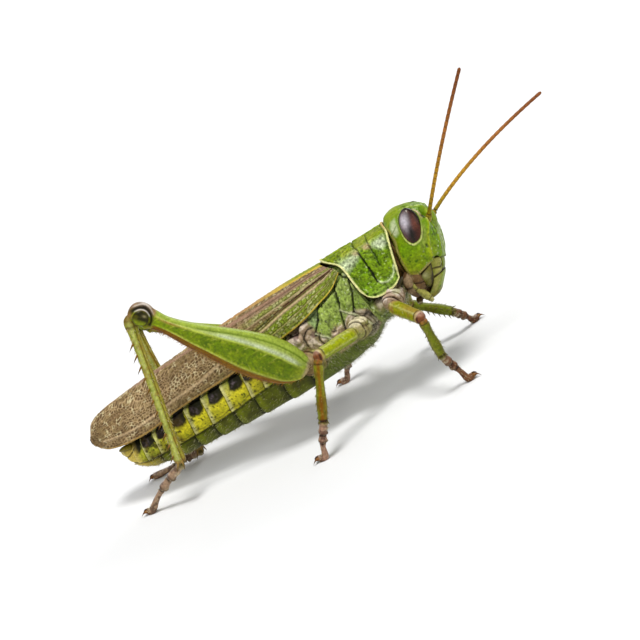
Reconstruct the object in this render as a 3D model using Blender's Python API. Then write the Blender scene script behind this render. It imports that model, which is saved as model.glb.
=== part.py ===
"""Short-horned grasshopper, a life-size still model standing on its six feet.

The trunk is built in its own frame, with u forward, y to the left and w towards the back's upper
side. An empty then pitches it nose-up. Legs and feelers are built straight in the standing frame.
Every shape is in millimetres until the mesh is made.
"""
import math

import bmesh
import bpy
import numpy as np
from mathutils import Matrix, Vector

# ---------------------------------------------------------------- driving dimensions, in mm
MM = 0.001
CLEARANCE = 0.08              # gap kept between neighbouring plates and joints
TRUNK_PITCH = 10.0            # nose-up pitch of the trunk, in degrees
TRUNK_LEAN = 8.0              # the back leans to the left, in degrees
TRUNK_PLACE = (19.76, 0.0, 8.80)   # the trunk frame's origin, above the floor

# Head: (rear, height at rear, front, height at front, half width) from the crown to the mouth
HEAD_STATIONS = (
    (15.35, 5.42, 17.20, 5.36, 0.90),
    (14.95, 5.08, 18.15, 5.02, 1.75),
    (14.72, 4.55, 18.92, 4.38, 2.32),
    (14.60, 3.75, 19.36, 3.55, 2.68),
    (14.46, 2.80, 19.42, 2.78, 2.84),
    (14.32, 1.85, 19.08, 1.88, 2.92),
    (14.14, 0.95, 18.74, 0.92, 2.92),
    (14.14, 0.05, 18.34, -0.10, 2.76),
    (14.35, -0.70, 17.95, -1.02, 2.52),
)
# How squarely the head's section turns: round in front, blunter behind, bluntest at the cheeks
FACE_POWER, NAPE_POWER, CHEEK_POWER = 2.05, 3.0, 4.2
EYE_CENTRE = (17.01, 2.10, 2.80)
EYE_RADII = (1.23, 0.86, 2.30)
EYE_LEAN = 17.6               # the eye's top leans forward, in degrees

# Pronotum, the saddle-shaped shield
SHIELD_KEEL = (2.00, 4.30)    # half spacing and height of the two side keels
SHIELD_EDGE = 0.28            # thickness of the free rear edge

# Folded forewings
WING_THICK = 0.50
WING_FRONT = 7.25
WING_REAR = -22.95

# Abdomen: where its three lengths part
ABDOMEN_BREAKS = (0.60, -6.60, -13.90, -21.25)

# Feelers, palps and feet
FEELER_RADIUS = (0.36, 0.27, 0.25)
PALP_RADIUS = 0.31
SOLE = 0.34                   # half thickness of a foot

# Hips in the trunk frame, for the left side: the coxa's root and its outer end
HIPS = {
    "fore": ((12.60, 1.85, -0.45), (11.62, 3.81, -1.66)),
    "mid": ((8.02, 1.98, -1.71), (7.41, 4.08, -1.86)),
    "hind": ((2.00, 1.76, -1.83), (1.45, 3.78, -1.86)),
    "hind_left": ((1.55, 2.00, -2.55), (0.95, 4.05, -2.75)),
}

# Knee, ankle, the foot's path and the toe's reach beyond it, in the standing frame
LEGS = {
    "fore_right": {
        "knee": (34.15, -7.3, 8.50), "ankle": (34.13, -6.6, 4.25),
        "foot": ((34.40, -5.6, 2.55), (34.75, -5.1, 1.35), (35.05, -4.8, SOLE)), "toe": (0.60, 0.30),
    },
    "fore_left": {
        "knee": (30.54, 7.0, 5.96), "ankle": (33.98, 8.6, 2.77),
        "foot": ((34.55, 9.5, 1.75), (34.90, 10.1, 1.00), (35.15, 10.6, SOLE)), "toe": (0.55, 0.55),
    },
    "mid_right": {
        "knee": (23.85, -8.3, 9.36), "ankle": (21.80, -9.6, 3.75),
        "foot": ((21.24, -9.6, 2.70), (20.60, -9.5, 1.45), (20.25, -9.4, SOLE)), "toe": (-0.75, 0.05),
    },
    "mid_left": {
        "knee": (24.20, 7.8, 8.30), "ankle": (22.30, 8.8, 3.40),
        "foot": ((21.75, 8.9, 2.20), (21.15, 8.95, 1.20), (20.70, 9.0, SOLE)), "toe": (-0.80, 0.05),
    },
    "hind_right": {
        "knee": (9.80, -6.7, 19.84), "ankle": (6.20, -6.6, 4.49),
        "foot": ((3.44, -5.7, 2.75), (1.60, -5.1, 1.50), (0.30, -4.7, SOLE)), "toe": (-0.70, 0.20),
    },
    "hind_left": {
        "knee": (4.95, 6.6, 15.85), "ankle": (4.30, 4.8, 1.05),
        "foot": ((2.50, 4.7, 0.75), (0.90, 4.6, 0.50), (-0.90, 4.5, SOLE)), "toe": (-0.80, 0.0),
    },
}

# Thickness along each leg: (share of length, dorsal, ventral, half width)
FEMUR_HIND = (
    (-0.02, 0.40, 0.95, 0.45), (0.01, 0.70, 1.75, 0.80), (0.05, 1.02, 2.30, 1.02), (0.10, 1.34, 2.72, 1.15),
    (0.17, 1.60, 2.93, 1.22), (0.25, 1.68, 2.98, 1.25), (0.35, 1.54, 2.90, 1.20), (0.46, 1.28, 2.55, 1.08),
    (0.58, 0.93, 2.10, 0.92), (0.70, 0.66, 1.68, 0.80), (0.78, 0.56, 1.32, 0.72), (0.85, 0.62, 1.04, 0.70),
    (0.91, 0.92, 1.04, 0.74), (0.96, 1.20, 1.12, 0.80), (1.01, 1.16, 1.04, 0.76), (1.05, 0.75, 0.65, 0.50),
)
FEMUR_WALKING = (
    (-0.04, 0.36, 0.36, 0.32), (0.06, 0.60, 0.60, 0.55), (0.30, 0.70, 0.68, 0.62),
    (0.65, 0.64, 0.62, 0.57), (0.92, 0.59, 0.57, 0.53), (1.04, 0.40, 0.40, 0.36),
)
TIBIA_HIND = (
    (-0.02, 0.40, 0.38, 0.34), (0.02, 0.62, 0.60, 0.50), (0.10, 0.54, 0.52, 0.45),
    (0.50, 0.50, 0.49, 0.43), (0.90, 0.52, 0.50, 0.45), (0.98, 0.60, 0.58, 0.50), (1.01, 0.42, 0.42, 0.36),
)
TIBIA_WALKING = (
    (-0.04, 0.30, 0.30, 0.28), (0.04, 0.48, 0.46, 0.43), (0.35, 0.43, 0.42, 0.40),
    (0.90, 0.50, 0.50, 0.46), (1.04, 0.38, 0.38, 0.34),
)


# ---------------------------------------------------------------- helpers
def clear_scene():
    for obj in list(bpy.data.objects):
        bpy.data.objects.remove(obj, do_unlink=True)


def lerp(a, b, t):
    return a + (b - a) * t


def along(stations, x):
    """A smooth value at x, through stations of (x, value) in rising order of x."""
    xs = np.array([s[0] for s in stations], float)
    ys = np.array([s[1] for s in stations], float)
    slope = np.gradient(ys, xs)
    x = float(np.clip(x, xs[0], xs[-1]))
    i = int(np.clip(np.searchsorted(xs, x) - 1, 0, len(xs) - 2))
    h = xs[i + 1] - xs[i]
    t = (x - xs[i]) / h
    a, b = (1 + 2 * t) * (1 - t) ** 2, t * (1 - t) ** 2
    c, d = t * t * (3 - 2 * t), t * t * (t - 1)
    return a * ys[i] + b * h * slope[i] + c * ys[i + 1] + d * h * slope[i + 1]


def material(name, colour, roughness=0.5):
    mat = bpy.data.materials.new(name)
    mat.use_nodes = True
    shader = mat.node_tree.nodes["Principled BSDF"]
    shader.inputs["Base Color"].default_value = (*colour, 1.0)
    shader.inputs["Roughness"].default_value = roughness
    shader.inputs["Metallic"].default_value = 0.0
    mat.diffuse_color = (*colour, 1.0)
    return mat


def solid(name, points, faces, colour, parent, roughness=0.5):
    """A closed, outward-facing, triangulated object from points in mm."""
    mesh = bpy.data.meshes.new(name)
    mesh.from_pydata([Vector(p) * MM for p in points], [], faces)
    mesh.validate()
    tidy(mesh)
    obj = bpy.data.objects.new(name, mesh)
    bpy.context.scene.collection.objects.link(obj)
    obj.parent = parent
    mesh.materials.append(material(name + "_finish", colour, roughness))
    mesh.shade_smooth()
    return obj


def tidy(mesh):
    bm = bmesh.new()
    bm.from_mesh(mesh)
    bmesh.ops.remove_doubles(bm, verts=bm.verts, dist=5e-7)
    bmesh.ops.dissolve_degenerate(bm, edges=bm.edges, dist=5e-7)
    bmesh.ops.triangulate(bm, faces=bm.faces)
    bmesh.ops.recalc_face_normals(bm, faces=bm.faces)
    bm.to_mesh(mesh)
    bm.free()


def loft(name, rings, colour, parent, tips=(None, None), roughness=0.5):
    """Closed skin through rings of equal point counts, each end closed by a fan to a tip."""
    rings = [np.asarray(r, float) for r in rings]
    count = len(rings[0])
    points = [p for ring in rings for p in ring]
    faces = []
    for k in range(len(rings) - 1):
        for j in range(count):
            a, b = k * count + j, k * count + (j + 1) % count
            faces.append((a, b, b + count, a + count))
    for ring, base, tip in ((rings[0], 0, tips[0]), (rings[-1], (len(rings) - 1) * count, tips[1])):
        centre = len(points)
        points.append(ring.mean(0) if tip is None else np.asarray(tip, float))
        faces += [(base + j, base + (j + 1) % count, centre) for j in range(count)]
    return solid(name, points, faces, colour, parent, roughness)


def grown_copy(obj, amount):
    """A copy of obj's mesh in world space, swollen along its normals, as a guide for a cut."""
    copy = bpy.data.objects.new(obj.name + "_guide", obj.data.copy())
    bpy.context.scene.collection.objects.link(copy)
    copy.data.transform(obj.matrix_world)
    normals = np.array([v.normal for v in copy.data.vertices])
    for vertex, normal in zip(copy.data.vertices, normals):
        vertex.co += Vector(normal) * amount * MM
    copy.hide_render = True
    copy.display_type = "WIRE"
    return copy


def cut(target, *others, amount=CLEARANCE):
    """Removes from target whatever lies inside its neighbours or within the clearance of them."""
    for other in others:
        bpy.context.view_layer.update()
        guide = grown_copy(other, amount)
        modifier = target.modifiers.new("clearance", "BOOLEAN")
        modifier.operation = "DIFFERENCE"
        modifier.solver = "EXACT"
        modifier.object = guide
        bpy.context.view_layer.update()
        graph = bpy.context.evaluated_depsgraph_get()
        result = bpy.data.meshes.new_from_object(target.evaluated_get(graph))
        target.modifiers.clear()
        target.data = result
        bpy.data.objects.remove(guide, do_unlink=True)
        tidy(target.data)
        keep_largest(target.data)
    target.data.shade_smooth()


def keep_largest(mesh):
    """Drops the crumbs that a cut leaves beside the main body."""
    bm = bmesh.new()
    bm.from_mesh(mesh)
    left, bodies = set(bm.verts), []
    while left:
        stack, body = [left.pop()], set()
        while stack:
            vertex = stack.pop()
            body.add(vertex)
            for edge in vertex.link_edges:
                other = edge.other_vert(vertex)
                if other in left:
                    left.discard(other)
                    stack.append(other)
        bodies.append(body)
    largest = max(bodies, key=len)
    spare = [v for v in bm.verts if v not in largest]
    bmesh.ops.delete(bm, geom=spare, context="VERTS")
    bm.to_mesh(mesh)
    bm.free()


def leg_frame(start, end, hint):
    """Axis, dorsal direction and side direction of a limb that runs from start to end."""
    axis = Vector(end) - Vector(start)
    length = axis.length
    axis.normalize()
    up = Vector(hint)
    up = (up - axis * up.dot(axis)).normalized()
    side = axis.cross(up)
    return axis, up, side, length


def limb(name, start, end, stations, colour, parent, hint=(0, 0, 1), sides=10):
    """A limb whose section swells by dorsal, ventral and side half thicknesses."""
    axis, up, side, length = leg_frame(start, end, hint)
    rings = []
    for share, dorsal, ventral, half in stations:
        centre = Vector(start) + axis * (share * length)
        ring = []
        for j in range(sides):
            angle = 2 * math.pi * (j + 0.5) / sides
            high = dorsal if math.cos(angle) > 0 else ventral
            ring.append(centre + up * (high * math.cos(angle)) + side * (half * math.sin(angle)))
        rings.append(ring)
    return loft(name, rings, colour, parent)


def tube(name, path, radii, colour, parent, sides=8, reference=(0, 0, 1)):
    """A tube along a path of points, its sections turned to keep one flat facing down."""
    path = [Vector(p) for p in path]
    rings = []
    for i, point in enumerate(path):
        before, after = path[max(i - 1, 0)], path[min(i + 1, len(path) - 1)]
        axis = (after - before).normalized()
        up = Vector(reference)
        up = (up - axis * up.dot(axis)).normalized()
        side = axis.cross(up)
        angles = [2 * math.pi * (j + 0.5) / sides for j in range(sides)]
        ring = [point + (up * math.cos(a) + side * math.sin(a)) * radii[i] for a in angles]
        rings.append(ring)
    return loft(name, rings, colour, parent)


def bezier(points, steps):
    """Points along a quadratic or cubic Bezier curve."""
    points = [np.array(p, float) for p in points]
    out = []
    for k in range(steps + 1):
        t = k / steps
        level = points
        while len(level) > 1:
            level = [lerp(a, b, t) for a, b in zip(level[:-1], level[1:])]
        out.append(level[0])
    return out


# ---------------------------------------------------------------- head
def face_relief(y, w):
    """How far the face sinks beside its middle ridge, where the feelers' sockets lie."""
    beside = math.exp(-((abs(y) - 1.05) / 0.50) ** 2)
    return 0.60 * beside * math.exp(-((w - 3.20) / 1.00) ** 2)


def make_head(trunk):
    rings, sides = [], 24
    for rear, rear_w, front, front_w, half in HEAD_STATIONS:
        middle = lerp(rear, front, 0.50)
        ring = []
        for j in range(sides):
            angle = 2 * math.pi * j / sides
            c, s = math.cos(angle), math.sin(angle)
            power = FACE_POWER if c > 0 else (NAPE_POWER if rear_w > 2.0 else CHEEK_POWER)
            u = math.copysign(abs(c) ** (2 / power), c)
            y = math.copysign(abs(s) ** (2 / power), s) * half
            u = middle + u * (front - rear) / 2
            w = lerp(rear_w, front_w, (u - rear) / (front - rear))
            if c > 0:
                u -= face_relief(y, w)
            ring.append((u, y, w))
        rings.append(ring)
    crown = (16.25, 0.0, 5.58)
    chin = (16.2, 0.0, -0.82)
    head = loft("head", rings, (0.36, 0.50, 0.05), trunk, (crown, chin), 0.35)
    return head


def make_eye(name, side, trunk):
    lean, rings = math.radians(EYE_LEAN), []
    bands, segments = 9, 14
    for k in range(1, bands):
        polar = math.pi * k / bands
        ring = []
        for j in range(segments):
            angle = 2 * math.pi * j / segments
            a = EYE_RADII[0] * math.sin(polar) * math.cos(angle)
            b = EYE_RADII[1] * math.sin(polar) * math.sin(angle)
            c = EYE_RADII[2] * math.cos(polar)
            u = EYE_CENTRE[0] + a * math.cos(lean) + c * math.sin(lean)
            w = EYE_CENTRE[2] - a * math.sin(lean) + c * math.cos(lean)
            ring.append((u, side * EYE_CENTRE[1] + b, w))
        rings.append(ring)
    tips = []
    for sign in (1, -1):
        c = sign * EYE_RADII[2]
        u = EYE_CENTRE[0] + c * math.sin(lean)
        tips.append((u, side * EYE_CENTRE[1], EYE_CENTRE[2] + c * math.cos(lean)))
    return loft(name, rings, (0.055, 0.018, 0.020), trunk, tips, 0.12)


def make_mouth(trunk):
    """Clypeus and labrum in front, the two jaws behind them, then the labium."""
    green, olive, brown = (0.33, 0.40, 0.06), (0.34, 0.33, 0.12), (0.16, 0.10, 0.05)
    stations = ((17.74, -1.16, 1.75, 0.85), (17.36, -1.68, 1.72, 0.85), (16.72, -2.38, 1.58, 0.85),
                (16.05, -2.95, 1.32, 0.80), (15.20, -3.42, 0.90, 0.60))
    rings = []
    for front, w, half, thick in stations:
        ring = []
        for j in range(9):
            y = half * (1 - 2 * j / 8)
            bow = 0.85 * half * (y / half / 1.6) ** 2
            ring.append((front - bow, y, w))
        for j in range(9):
            y = -half * 0.96 * (1 - 2 * j / 8)
            bow = thick + 0.85 * half * (y / half / 1.6) ** 2
            ring.append((front - bow, y, w))
        rings.append(ring)
    labrum = loft("labrum", rings, green, trunk)
    pieces = [labrum]
    for name, side in (("mandible_right", -1), ("mandible_left", 1)):
        rings = []
        for rear, front, w, outer in ((14.98, 16.75, -1.14, 2.30), (14.98, 16.35, -1.70, 2.08),
                                      (15.05, 15.85, -2.25, 1.62), (15.10, 15.45, -2.70, 1.10)):
            rings.append(block_ring(rear, front, 0.06, outer, w, 10, side))
        jaw = loft(name, rings, olive, trunk)
        cut(jaw, labrum)
        pieces.append(jaw)
    rings = []
    for rear, front, w, half in ((13.55, 14.80, -1.02, 1.55), (13.45, 14.82, -1.60, 1.55), (13.50, 14.78, -2.35, 1.15)):
        rings.append(block_ring(rear, front, -half, half, w, 14, 1))
    pieces.append(loft("labium", rings, brown, trunk))
    return pieces


def block_ring(rear, front, inner, outer, w, sides, side):
    """A level ring of a rounded block between rear and front, inner and outer."""
    ring = []
    for j in range(sides):
        angle = 2 * math.pi * (j + 0.5) / sides
        c, s = math.cos(angle), math.sin(angle)
        u = (rear + front) / 2 + math.copysign(abs(c) ** 0.7, c) * (front - rear) / 2
        y = (inner + outer) / 2 + math.copysign(abs(s) ** 0.7, s) * (outer - inner) / 2
        ring.append((u, side * y, w))
    return ring


def make_palps(trunk):
    tan = (0.42, 0.40, 0.16)
    for name, side in (("right", -1), ("left", 1)):
        path = [(14.30, side * 1.98, -1.20), (14.30, side * 2.10, -1.80), (14.42, side * 2.05, -2.40),
                (14.58, side * 1.90, -2.95), (14.70, side * 1.80, -3.35)]
        radii = [r * PALP_RADIUS for r in (0.85, 0.97, 1.0, 1.07, 0.87)]
        tube("maxillary_palp_" + name, path, radii, tan, trunk, 8, (1, 0, 0))
        path = [(13.80, side * 0.80, -2.52), (13.62, side * 0.92, -2.85), (13.50, side * 0.98, -3.15),
                (13.46, side * 0.98, -3.40)]
        radii = [r * PALP_RADIUS for r in (0.84, 0.94, 0.94, 0.81)]
        tube("labial_palp_" + name, path, radii, (0.22, 0.16, 0.08), trunk, 8, (1, 0, 0))


def make_feelers(parent, head):
    rust = (0.33, 0.17, 0.05)
    curves = {
        "antenna_right": ((37.20, -0.40, 14.75), (40.9, -2.10, 20.3), (46.95, -3.7, 27.55)),
        "antenna_left": ((37.35, 1.25, 14.45), (42.6, 3.4, 18.0), (51.7, 6.2, 20.18)),
    }
    for name, points in curves.items():
        path = bezier(points, 11)
        radii = [FEELER_RADIUS[0] if k < 2 else lerp(FEELER_RADIUS[1], FEELER_RADIUS[2], k / 11) for k in range(12)]
        feeler = tube(name, path, radii, rust, parent, 8, (0, 1, 0))
        cut(feeler, head)


# ---------------------------------------------------------------- trunk
def rim_height(u):
    """Height of the shield's lower rim."""
    return along(((10.0, 0.10), (10.6, -0.26), (11.3, -0.44), (12.2, -0.46), (13.2, -0.26), (13.9, 0.18)), u)


def make_shield(trunk):
    """The pronotum: a saddle with a keeled disc, its rear edge free over the wing bases."""
    top = lambda u: along(((7.4, 5.37), (9.7, 5.25), (12.2, 5.09), (14.7, 5.03)), u)
    # (half width, share of the way from keel to rim, front edge, rear edge) around one half
    profile = ((0.0, None, 14.62, 7.42), (1.05, None, 14.82, 7.85), (2.00, 0.0, 15.02, 8.90),
               (2.68, 0.12, 14.95, 9.42), (3.06, 0.32, 14.72, 9.62), (3.28, 0.56, 14.42, 9.70),
               (3.38, 0.80, 14.12, 9.84), (3.36, 1.0, 13.76, 10.15))
    shares = (0.0, 0.12, 0.26, 0.40, 0.54, 0.70, 0.86, 1.0)
    rings = []
    for s in shares:
        half_ring = []
        for y, v, front, rear in profile:
            u = lerp(front, rear, s)
            if v is None:
                w = top(u) - 0.22 * (y / 1.05) ** 1.5
            else:
                keel = SHIELD_KEEL[1] + 0.14 * math.sin(math.pi * s) + 0.08 * s
                w = lerp(keel, rim_height(u), v)
                if v == 1.0:
                    w = rim_height(u) + 0.25 * (s ** 8)
            pinch = 1.0 - 0.055 * (1 - s) - 0.03 * math.exp(-((s - 0.45) / 0.12) ** 2)
            half_ring.append((u, y * pinch, w))
        front_u, front_w = half_ring[-1][0], half_ring[-1][2]
        under = [(front_u - 0.05 * (1 - 2 * s), 2.45, front_w + 0.10)]
        right = [(u, -y, w) for u, y, w in half_ring[1:] + under]
        rings.append([half_ring[0]] + right + [(u, -y, w) for u, y, w in reversed(right)])
    rim = np.array(rings[-1])
    lip = rim.copy()
    lip[:, 2] -= SHIELD_EDGE * np.clip((rim[:, 2] - 3.0) / 1.0, 0.0, 1.0)
    lip[:, 1] *= 0.93
    back = lip.copy()
    back[:, 0] = np.maximum(9.75, rim[:, 0] + 0.12)
    back[:, 1] *= 0.90
    back[:, 2] = np.where(lip[:, 2] > 3.6, lip[:, 2] - 0.30, lip[:, 2] + 0.10)
    rings += [lip, back]
    return loft("pronotum", rings, (0.33, 0.50, 0.06), trunk, ((13.95, 0, 2.4), (10.0, 0, 2.2)), 0.4)


def wing_top(u):
    return along(((-22.95, 3.70), (-22.4, 4.55), (-21.5, 5.06), (-20.4, 5.26), (-18.5, 5.38), (-14.0, 5.56),
                  (-5.0, 5.62), (2.7, 5.56), (5.0, 5.43), (7.25, 5.22), (9.2, 4.80)), u)


def wing_low(u):
    return along(((-22.95, 3.05), (-22.5, 2.42), (-21.8, 1.88), (-20.3, 1.38), (-17.5, 0.94), (-5.0, 0.98),
                  (0.5, 1.30), (2.9, 1.62), (5.7, 2.23), (7.7, 2.81), (9.1, 3.75)), u)


def wing_side(u):
    return along(((-22.95, 1.15), (-22.0, 1.60), (-20.0, 2.15), (-16.0, 2.60), (-9.0, 2.85), (0.0, 3.00),
                  (5.0, 3.22), (9.2, 2.80)), u)


def make_wing(name, side, trunk):
    """A folded forewing: a roof half from the midline over the flank, a plate of even thickness."""
    stations, turns = 14, 8
    outer, inner = [], []
    for k in range(stations):
        s = k / (stations - 1)
        s = s - 0.06 * math.sin(2 * math.pi * s)
        row_out, row_in = [], []
        for j in range(turns):
            turn = math.radians(90) * j / (turns - 1)
            lead = WING_FRONT + 1.75 * math.sin(turn) ** 1.5
            u = lerp(lead, WING_REAR, s)
            high, low, flank = wing_top(u), wing_low(u), wing_side(u)
            y = 0.08 + (flank - 0.08) * math.sin(turn) ** 0.85
            w = low + (high - low) * math.cos(turn) ** 0.85 if j < turns - 1 else low
            row_out.append((u, side * y, w))
            inward = (math.sin(turn), math.cos(turn))
            y_in = max(y - WING_THICK * inward[0], 0.08)
            row_in.append((u, side * y_in, w - WING_THICK * inward[1]))
        outer.append(row_out)
        inner.append(row_in)
    rings = [row_out + row_in[::-1] for row_out, row_in in zip(outer, inner)]
    return loft(name, rings, (0.30, 0.30, 0.10), trunk, (None, None), 0.45)


def tuck(u, y, w, slack=0.86):
    """Keeps a flank point inside the folded wing that covers it."""
    cover = np.clip((w - wing_low(u) + 0.85) / 0.50, 0.0, 1.0)
    limit = lerp(9.0, wing_side(u) - slack, cover) if cover > 0 else 9.0
    return min(y, limit)


def body_rings(stations, us, power=2.4, sides=18, covered=True):
    """Trunk sections: (u, top, bottom, half width) stations read at each u."""
    table = [list(zip([s[0] for s in stations], [s[k] for s in stations])) for k in (1, 2, 3)]
    rings = []
    for u in us:
        top, bottom, half = (along(t, u) for t in table)
        ring = []
        for j in range(sides):
            angle = 2 * math.pi * j / sides
            c, s = math.cos(angle), math.sin(angle)
            w = (top + bottom) / 2 + math.copysign(abs(c) ** (2 / power), c) * (top - bottom) / 2
            y = abs(s) ** (2 / power) * half
            if covered and u < 9.2:
                y = tuck(u, y, w)
            ring.append((u, math.copysign(y, s), w))
        rings.append(ring)
    return rings


def make_thorax(trunk):
    under = ((9.62, -0.10, -2.97, 3.12), (10.6, -0.36, -2.86, 3.12), (11.6, -0.56, -2.60, 2.95),
             (12.8, -0.48, -1.85, 2.45), (13.6, -0.18, -1.10, 1.75))
    main = ((0.68, 4.10, -4.66, 2.90), (2.6, 4.20, -4.64, 3.05), (4.4, 4.28, -4.58, 3.15),
            (6.2, 4.38, -4.36, 3.22), (7.8, 4.40, -4.04, 3.25), (8.8, 4.38, -3.42, 3.22), (9.48, 4.28, -3.00, 3.14))
    rings = body_rings(main, (0.68, 2.0, 3.3, 4.6, 5.7, 6.8, 7.8, 8.7, 9.48), 2.5)
    rings += body_rings(under, (9.62, 10.4, 11.3, 12.2, 13.0, 13.6), 2.5)
    return loft("thorax", rings, (0.20, 0.24, 0.08), trunk)


def make_abdomen(trunk):
    shape = ((-21.25, 0.85, 0.10, 0.50), (-20.8, 0.92, -1.00, 1.15), (-19.9, 1.02, -1.95, 1.70),
             (-18.2, 1.30, -2.58, 2.15), (-15.5, 2.40, -3.10, 2.42), (-11.0, 3.60, -3.65, 2.60),
             (-6.0, 4.20, -4.15, 2.75), (-2.0, 4.15, -4.48, 2.85), (0.60, 4.05, -4.64, 2.90))
    names = ("abdomen_front", "abdomen_middle", "abdomen_rear")
    steps = (4, 4, 7)
    pieces = []
    for name, start, end, count in zip(names, ABDOMEN_BREAKS[:-1], ABDOMEN_BREAKS[1:], steps):
        end = end + (CLEARANCE if name != "abdomen_rear" else 0.0)
        us = [lerp(start, end, (k / count) ** (0.75 if name == "abdomen_rear" else 1.0)) for k in range(count + 1)]
        rings = body_rings(shape, us, 2.15)
        tips = (None, (-21.36, 0.0, 0.5)) if name == "abdomen_rear" else (None, None)
        pieces.append(loft(name, rings, (0.36, 0.36, 0.05), trunk, tips))
    for name, side in (("cercus_right", -1), ("cercus_left", 1)):
        path = [(-19.5, side * 1.45, 0.66), (-20.2, side * 1.38, 0.86), (-20.85, side * 1.20, 0.90)]
        cercus = tube(name, path, (0.30, 0.30, 0.25), (0.35, 0.28, 0.10), trunk, 8)
        cut(cercus, pieces[-1])
    return pieces


def make_neck(trunk, head, shield, thorax):
    """The soft neck that fills the space between the head and the shield."""
    rings = []
    for u, low, high, half in ((15.4, -0.10, 4.00, 1.95), (14.2, -0.75, 3.90, 2.00), (13.2, -0.85, 3.60, 1.95)):
        ring = []
        for j in range(12):
            angle = 2 * math.pi * (j + 0.5) / 12
            w = (low + high) / 2 + math.cos(angle) * (high - low) / 2
            ring.append((u, math.sin(angle) * half, w))
        rings.append(ring)
    neck = loft("neck", rings, (0.14, 0.11, 0.06), trunk)
    cut(neck, head, shield, thorax)
    return neck


# ---------------------------------------------------------------- legs
def trunk_turn():
    """How the trunk stands: leaned about its own axis, then pitched nose-up."""
    pitch = Matrix.Rotation(-math.radians(TRUNK_PITCH), 4, "Y")
    return pitch @ Matrix.Rotation(-math.radians(TRUNK_LEAN), 4, "X")


def trunk_point(u, y, w):
    """A point of the trunk frame, in the standing frame."""
    return Vector(TRUNK_PLACE) + trunk_turn() @ Vector((u, y, w))


def make_leg(name, joints, root, neighbours):
    hind = name.startswith("hind")
    out = -1 if name.endswith("right") else 1
    coxa_r = 1.35 if hind else 0.95
    colour = (0.34, 0.38, 0.06)
    coxa_shape = ((0.0, coxa_r, coxa_r, coxa_r), (0.6, coxa_r * 1.02, coxa_r * 1.02, coxa_r),
                  (0.95, coxa_r * 0.70, coxa_r * 0.70, coxa_r * 0.70))
    inner, hip = (trunk_point(u, out * y, w) for u, y, w in HIPS.get(name, HIPS[name.split("_")[0]]))
    coxa = limb("coxa_" + name, inner, hip, coxa_shape, (0.30, 0.25, 0.15), root, (0, 0, 1), 8)
    cut(coxa, *neighbours)
    knee, ankle = Vector(joints["knee"]), Vector(joints["ankle"])
    dorsal = (0.75, 0.0, 0.66) if hind else (0, -0.2 * out, 1.0)
    shape = FEMUR_HIND if hind else FEMUR_WALKING
    femur = limb("femur_" + name, hip, knee, shape, colour, root, dorsal, 12 if hind else 10)
    cut(femur, coxa, *neighbours)
    rearward = (-1, 0, 0.2) if hind else (0.3, out, 0)
    shape = TIBIA_HIND if hind else TIBIA_WALKING
    top = knee + (Vector((-0.95, 0.0, -0.05)) if hind else Vector((0, 0, -0.15)))
    tibia = limb("tibia_" + name, top, ankle, shape, (0.26, 0.30, 0.07), root, rearward, 8)
    cut(tibia, femur)
    toe = Vector(joints["foot"][-1]) + Vector((*joints["toe"], 0.0))
    path = [ankle + (ankle - top).normalized() * 0.05] + [Vector(p) for p in joints["foot"]] + [toe]
    path = [path[0]] + [lerp(path[0], path[1], 0.5)] + path[1:]
    sole = SOLE / math.cos(math.pi / 8)
    radii = [0.36] + [0.40] + [0.40] * (len(path) - 4) + [sole, sole]
    tarsus = tube("tarsus_" + name, path, radii, (0.26, 0.15, 0.10), root, 8)
    cut(tarsus, tibia)
    return [coxa, femur, tibia, tarsus]


# ---------------------------------------------------------------- assembly
def settle(root):
    """Sets the model over the frame's origin, with its lowest soles on the floor."""
    bpy.context.view_layer.update()
    corners = [o.matrix_world @ v.co for o in bpy.data.objects if o.type == "MESH" for v in o.data.vertices]
    low = np.min(np.array(corners), axis=0)
    high = np.max(np.array(corners), axis=0)
    root.location = (-(low[0] + high[0]) / 2, -(low[1] + high[1]) / 2, -low[2])


def build():
    clear_scene()
    root = bpy.data.objects.new("stance", None)
    trunk = bpy.data.objects.new("trunk_frame", None)
    for empty in (root, trunk):
        bpy.context.scene.collection.objects.link(empty)
    trunk.parent = root
    trunk.matrix_local = Matrix.Translation(Vector(TRUNK_PLACE) * MM) @ trunk_turn()
    bpy.context.view_layer.update()
    head = make_head(trunk)
    make_mouth(trunk)
    make_palps(trunk)
    make_feelers(root, head)
    shield = make_shield(trunk)
    thorax = make_thorax(trunk)
    abdomen = make_abdomen(trunk)
    for name, side in (("forewing_right", -1), ("forewing_left", 1)):
        make_wing(name, side, trunk)
    make_neck(trunk, head, shield, thorax)
    for name, side in (("eye_right", -1), ("eye_left", 1)):
        cut(head, make_eye(name, side, trunk), amount=0.04)
    for name, joints in LEGS.items():
        make_leg(name, joints, root, (thorax, shield, abdomen[0]) if "hind" in name else (thorax, shield))
    settle(root)


build()
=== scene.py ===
"""Looks of the short-horned grasshopper: sculpted shell plates, eyes, veined wings, segmented feelers,
legs with spines and claws, and fine hair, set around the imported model.

Shapes are worked out in millimetres, either in the trunk's own frame (u forward, y left, w up the
back) or in the standing frame (x forward, y left, z up from the floor), then placed in metres.
"""

import math

import bpy
import bmesh
import numpy as np
from mathutils import Matrix, Vector


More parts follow.
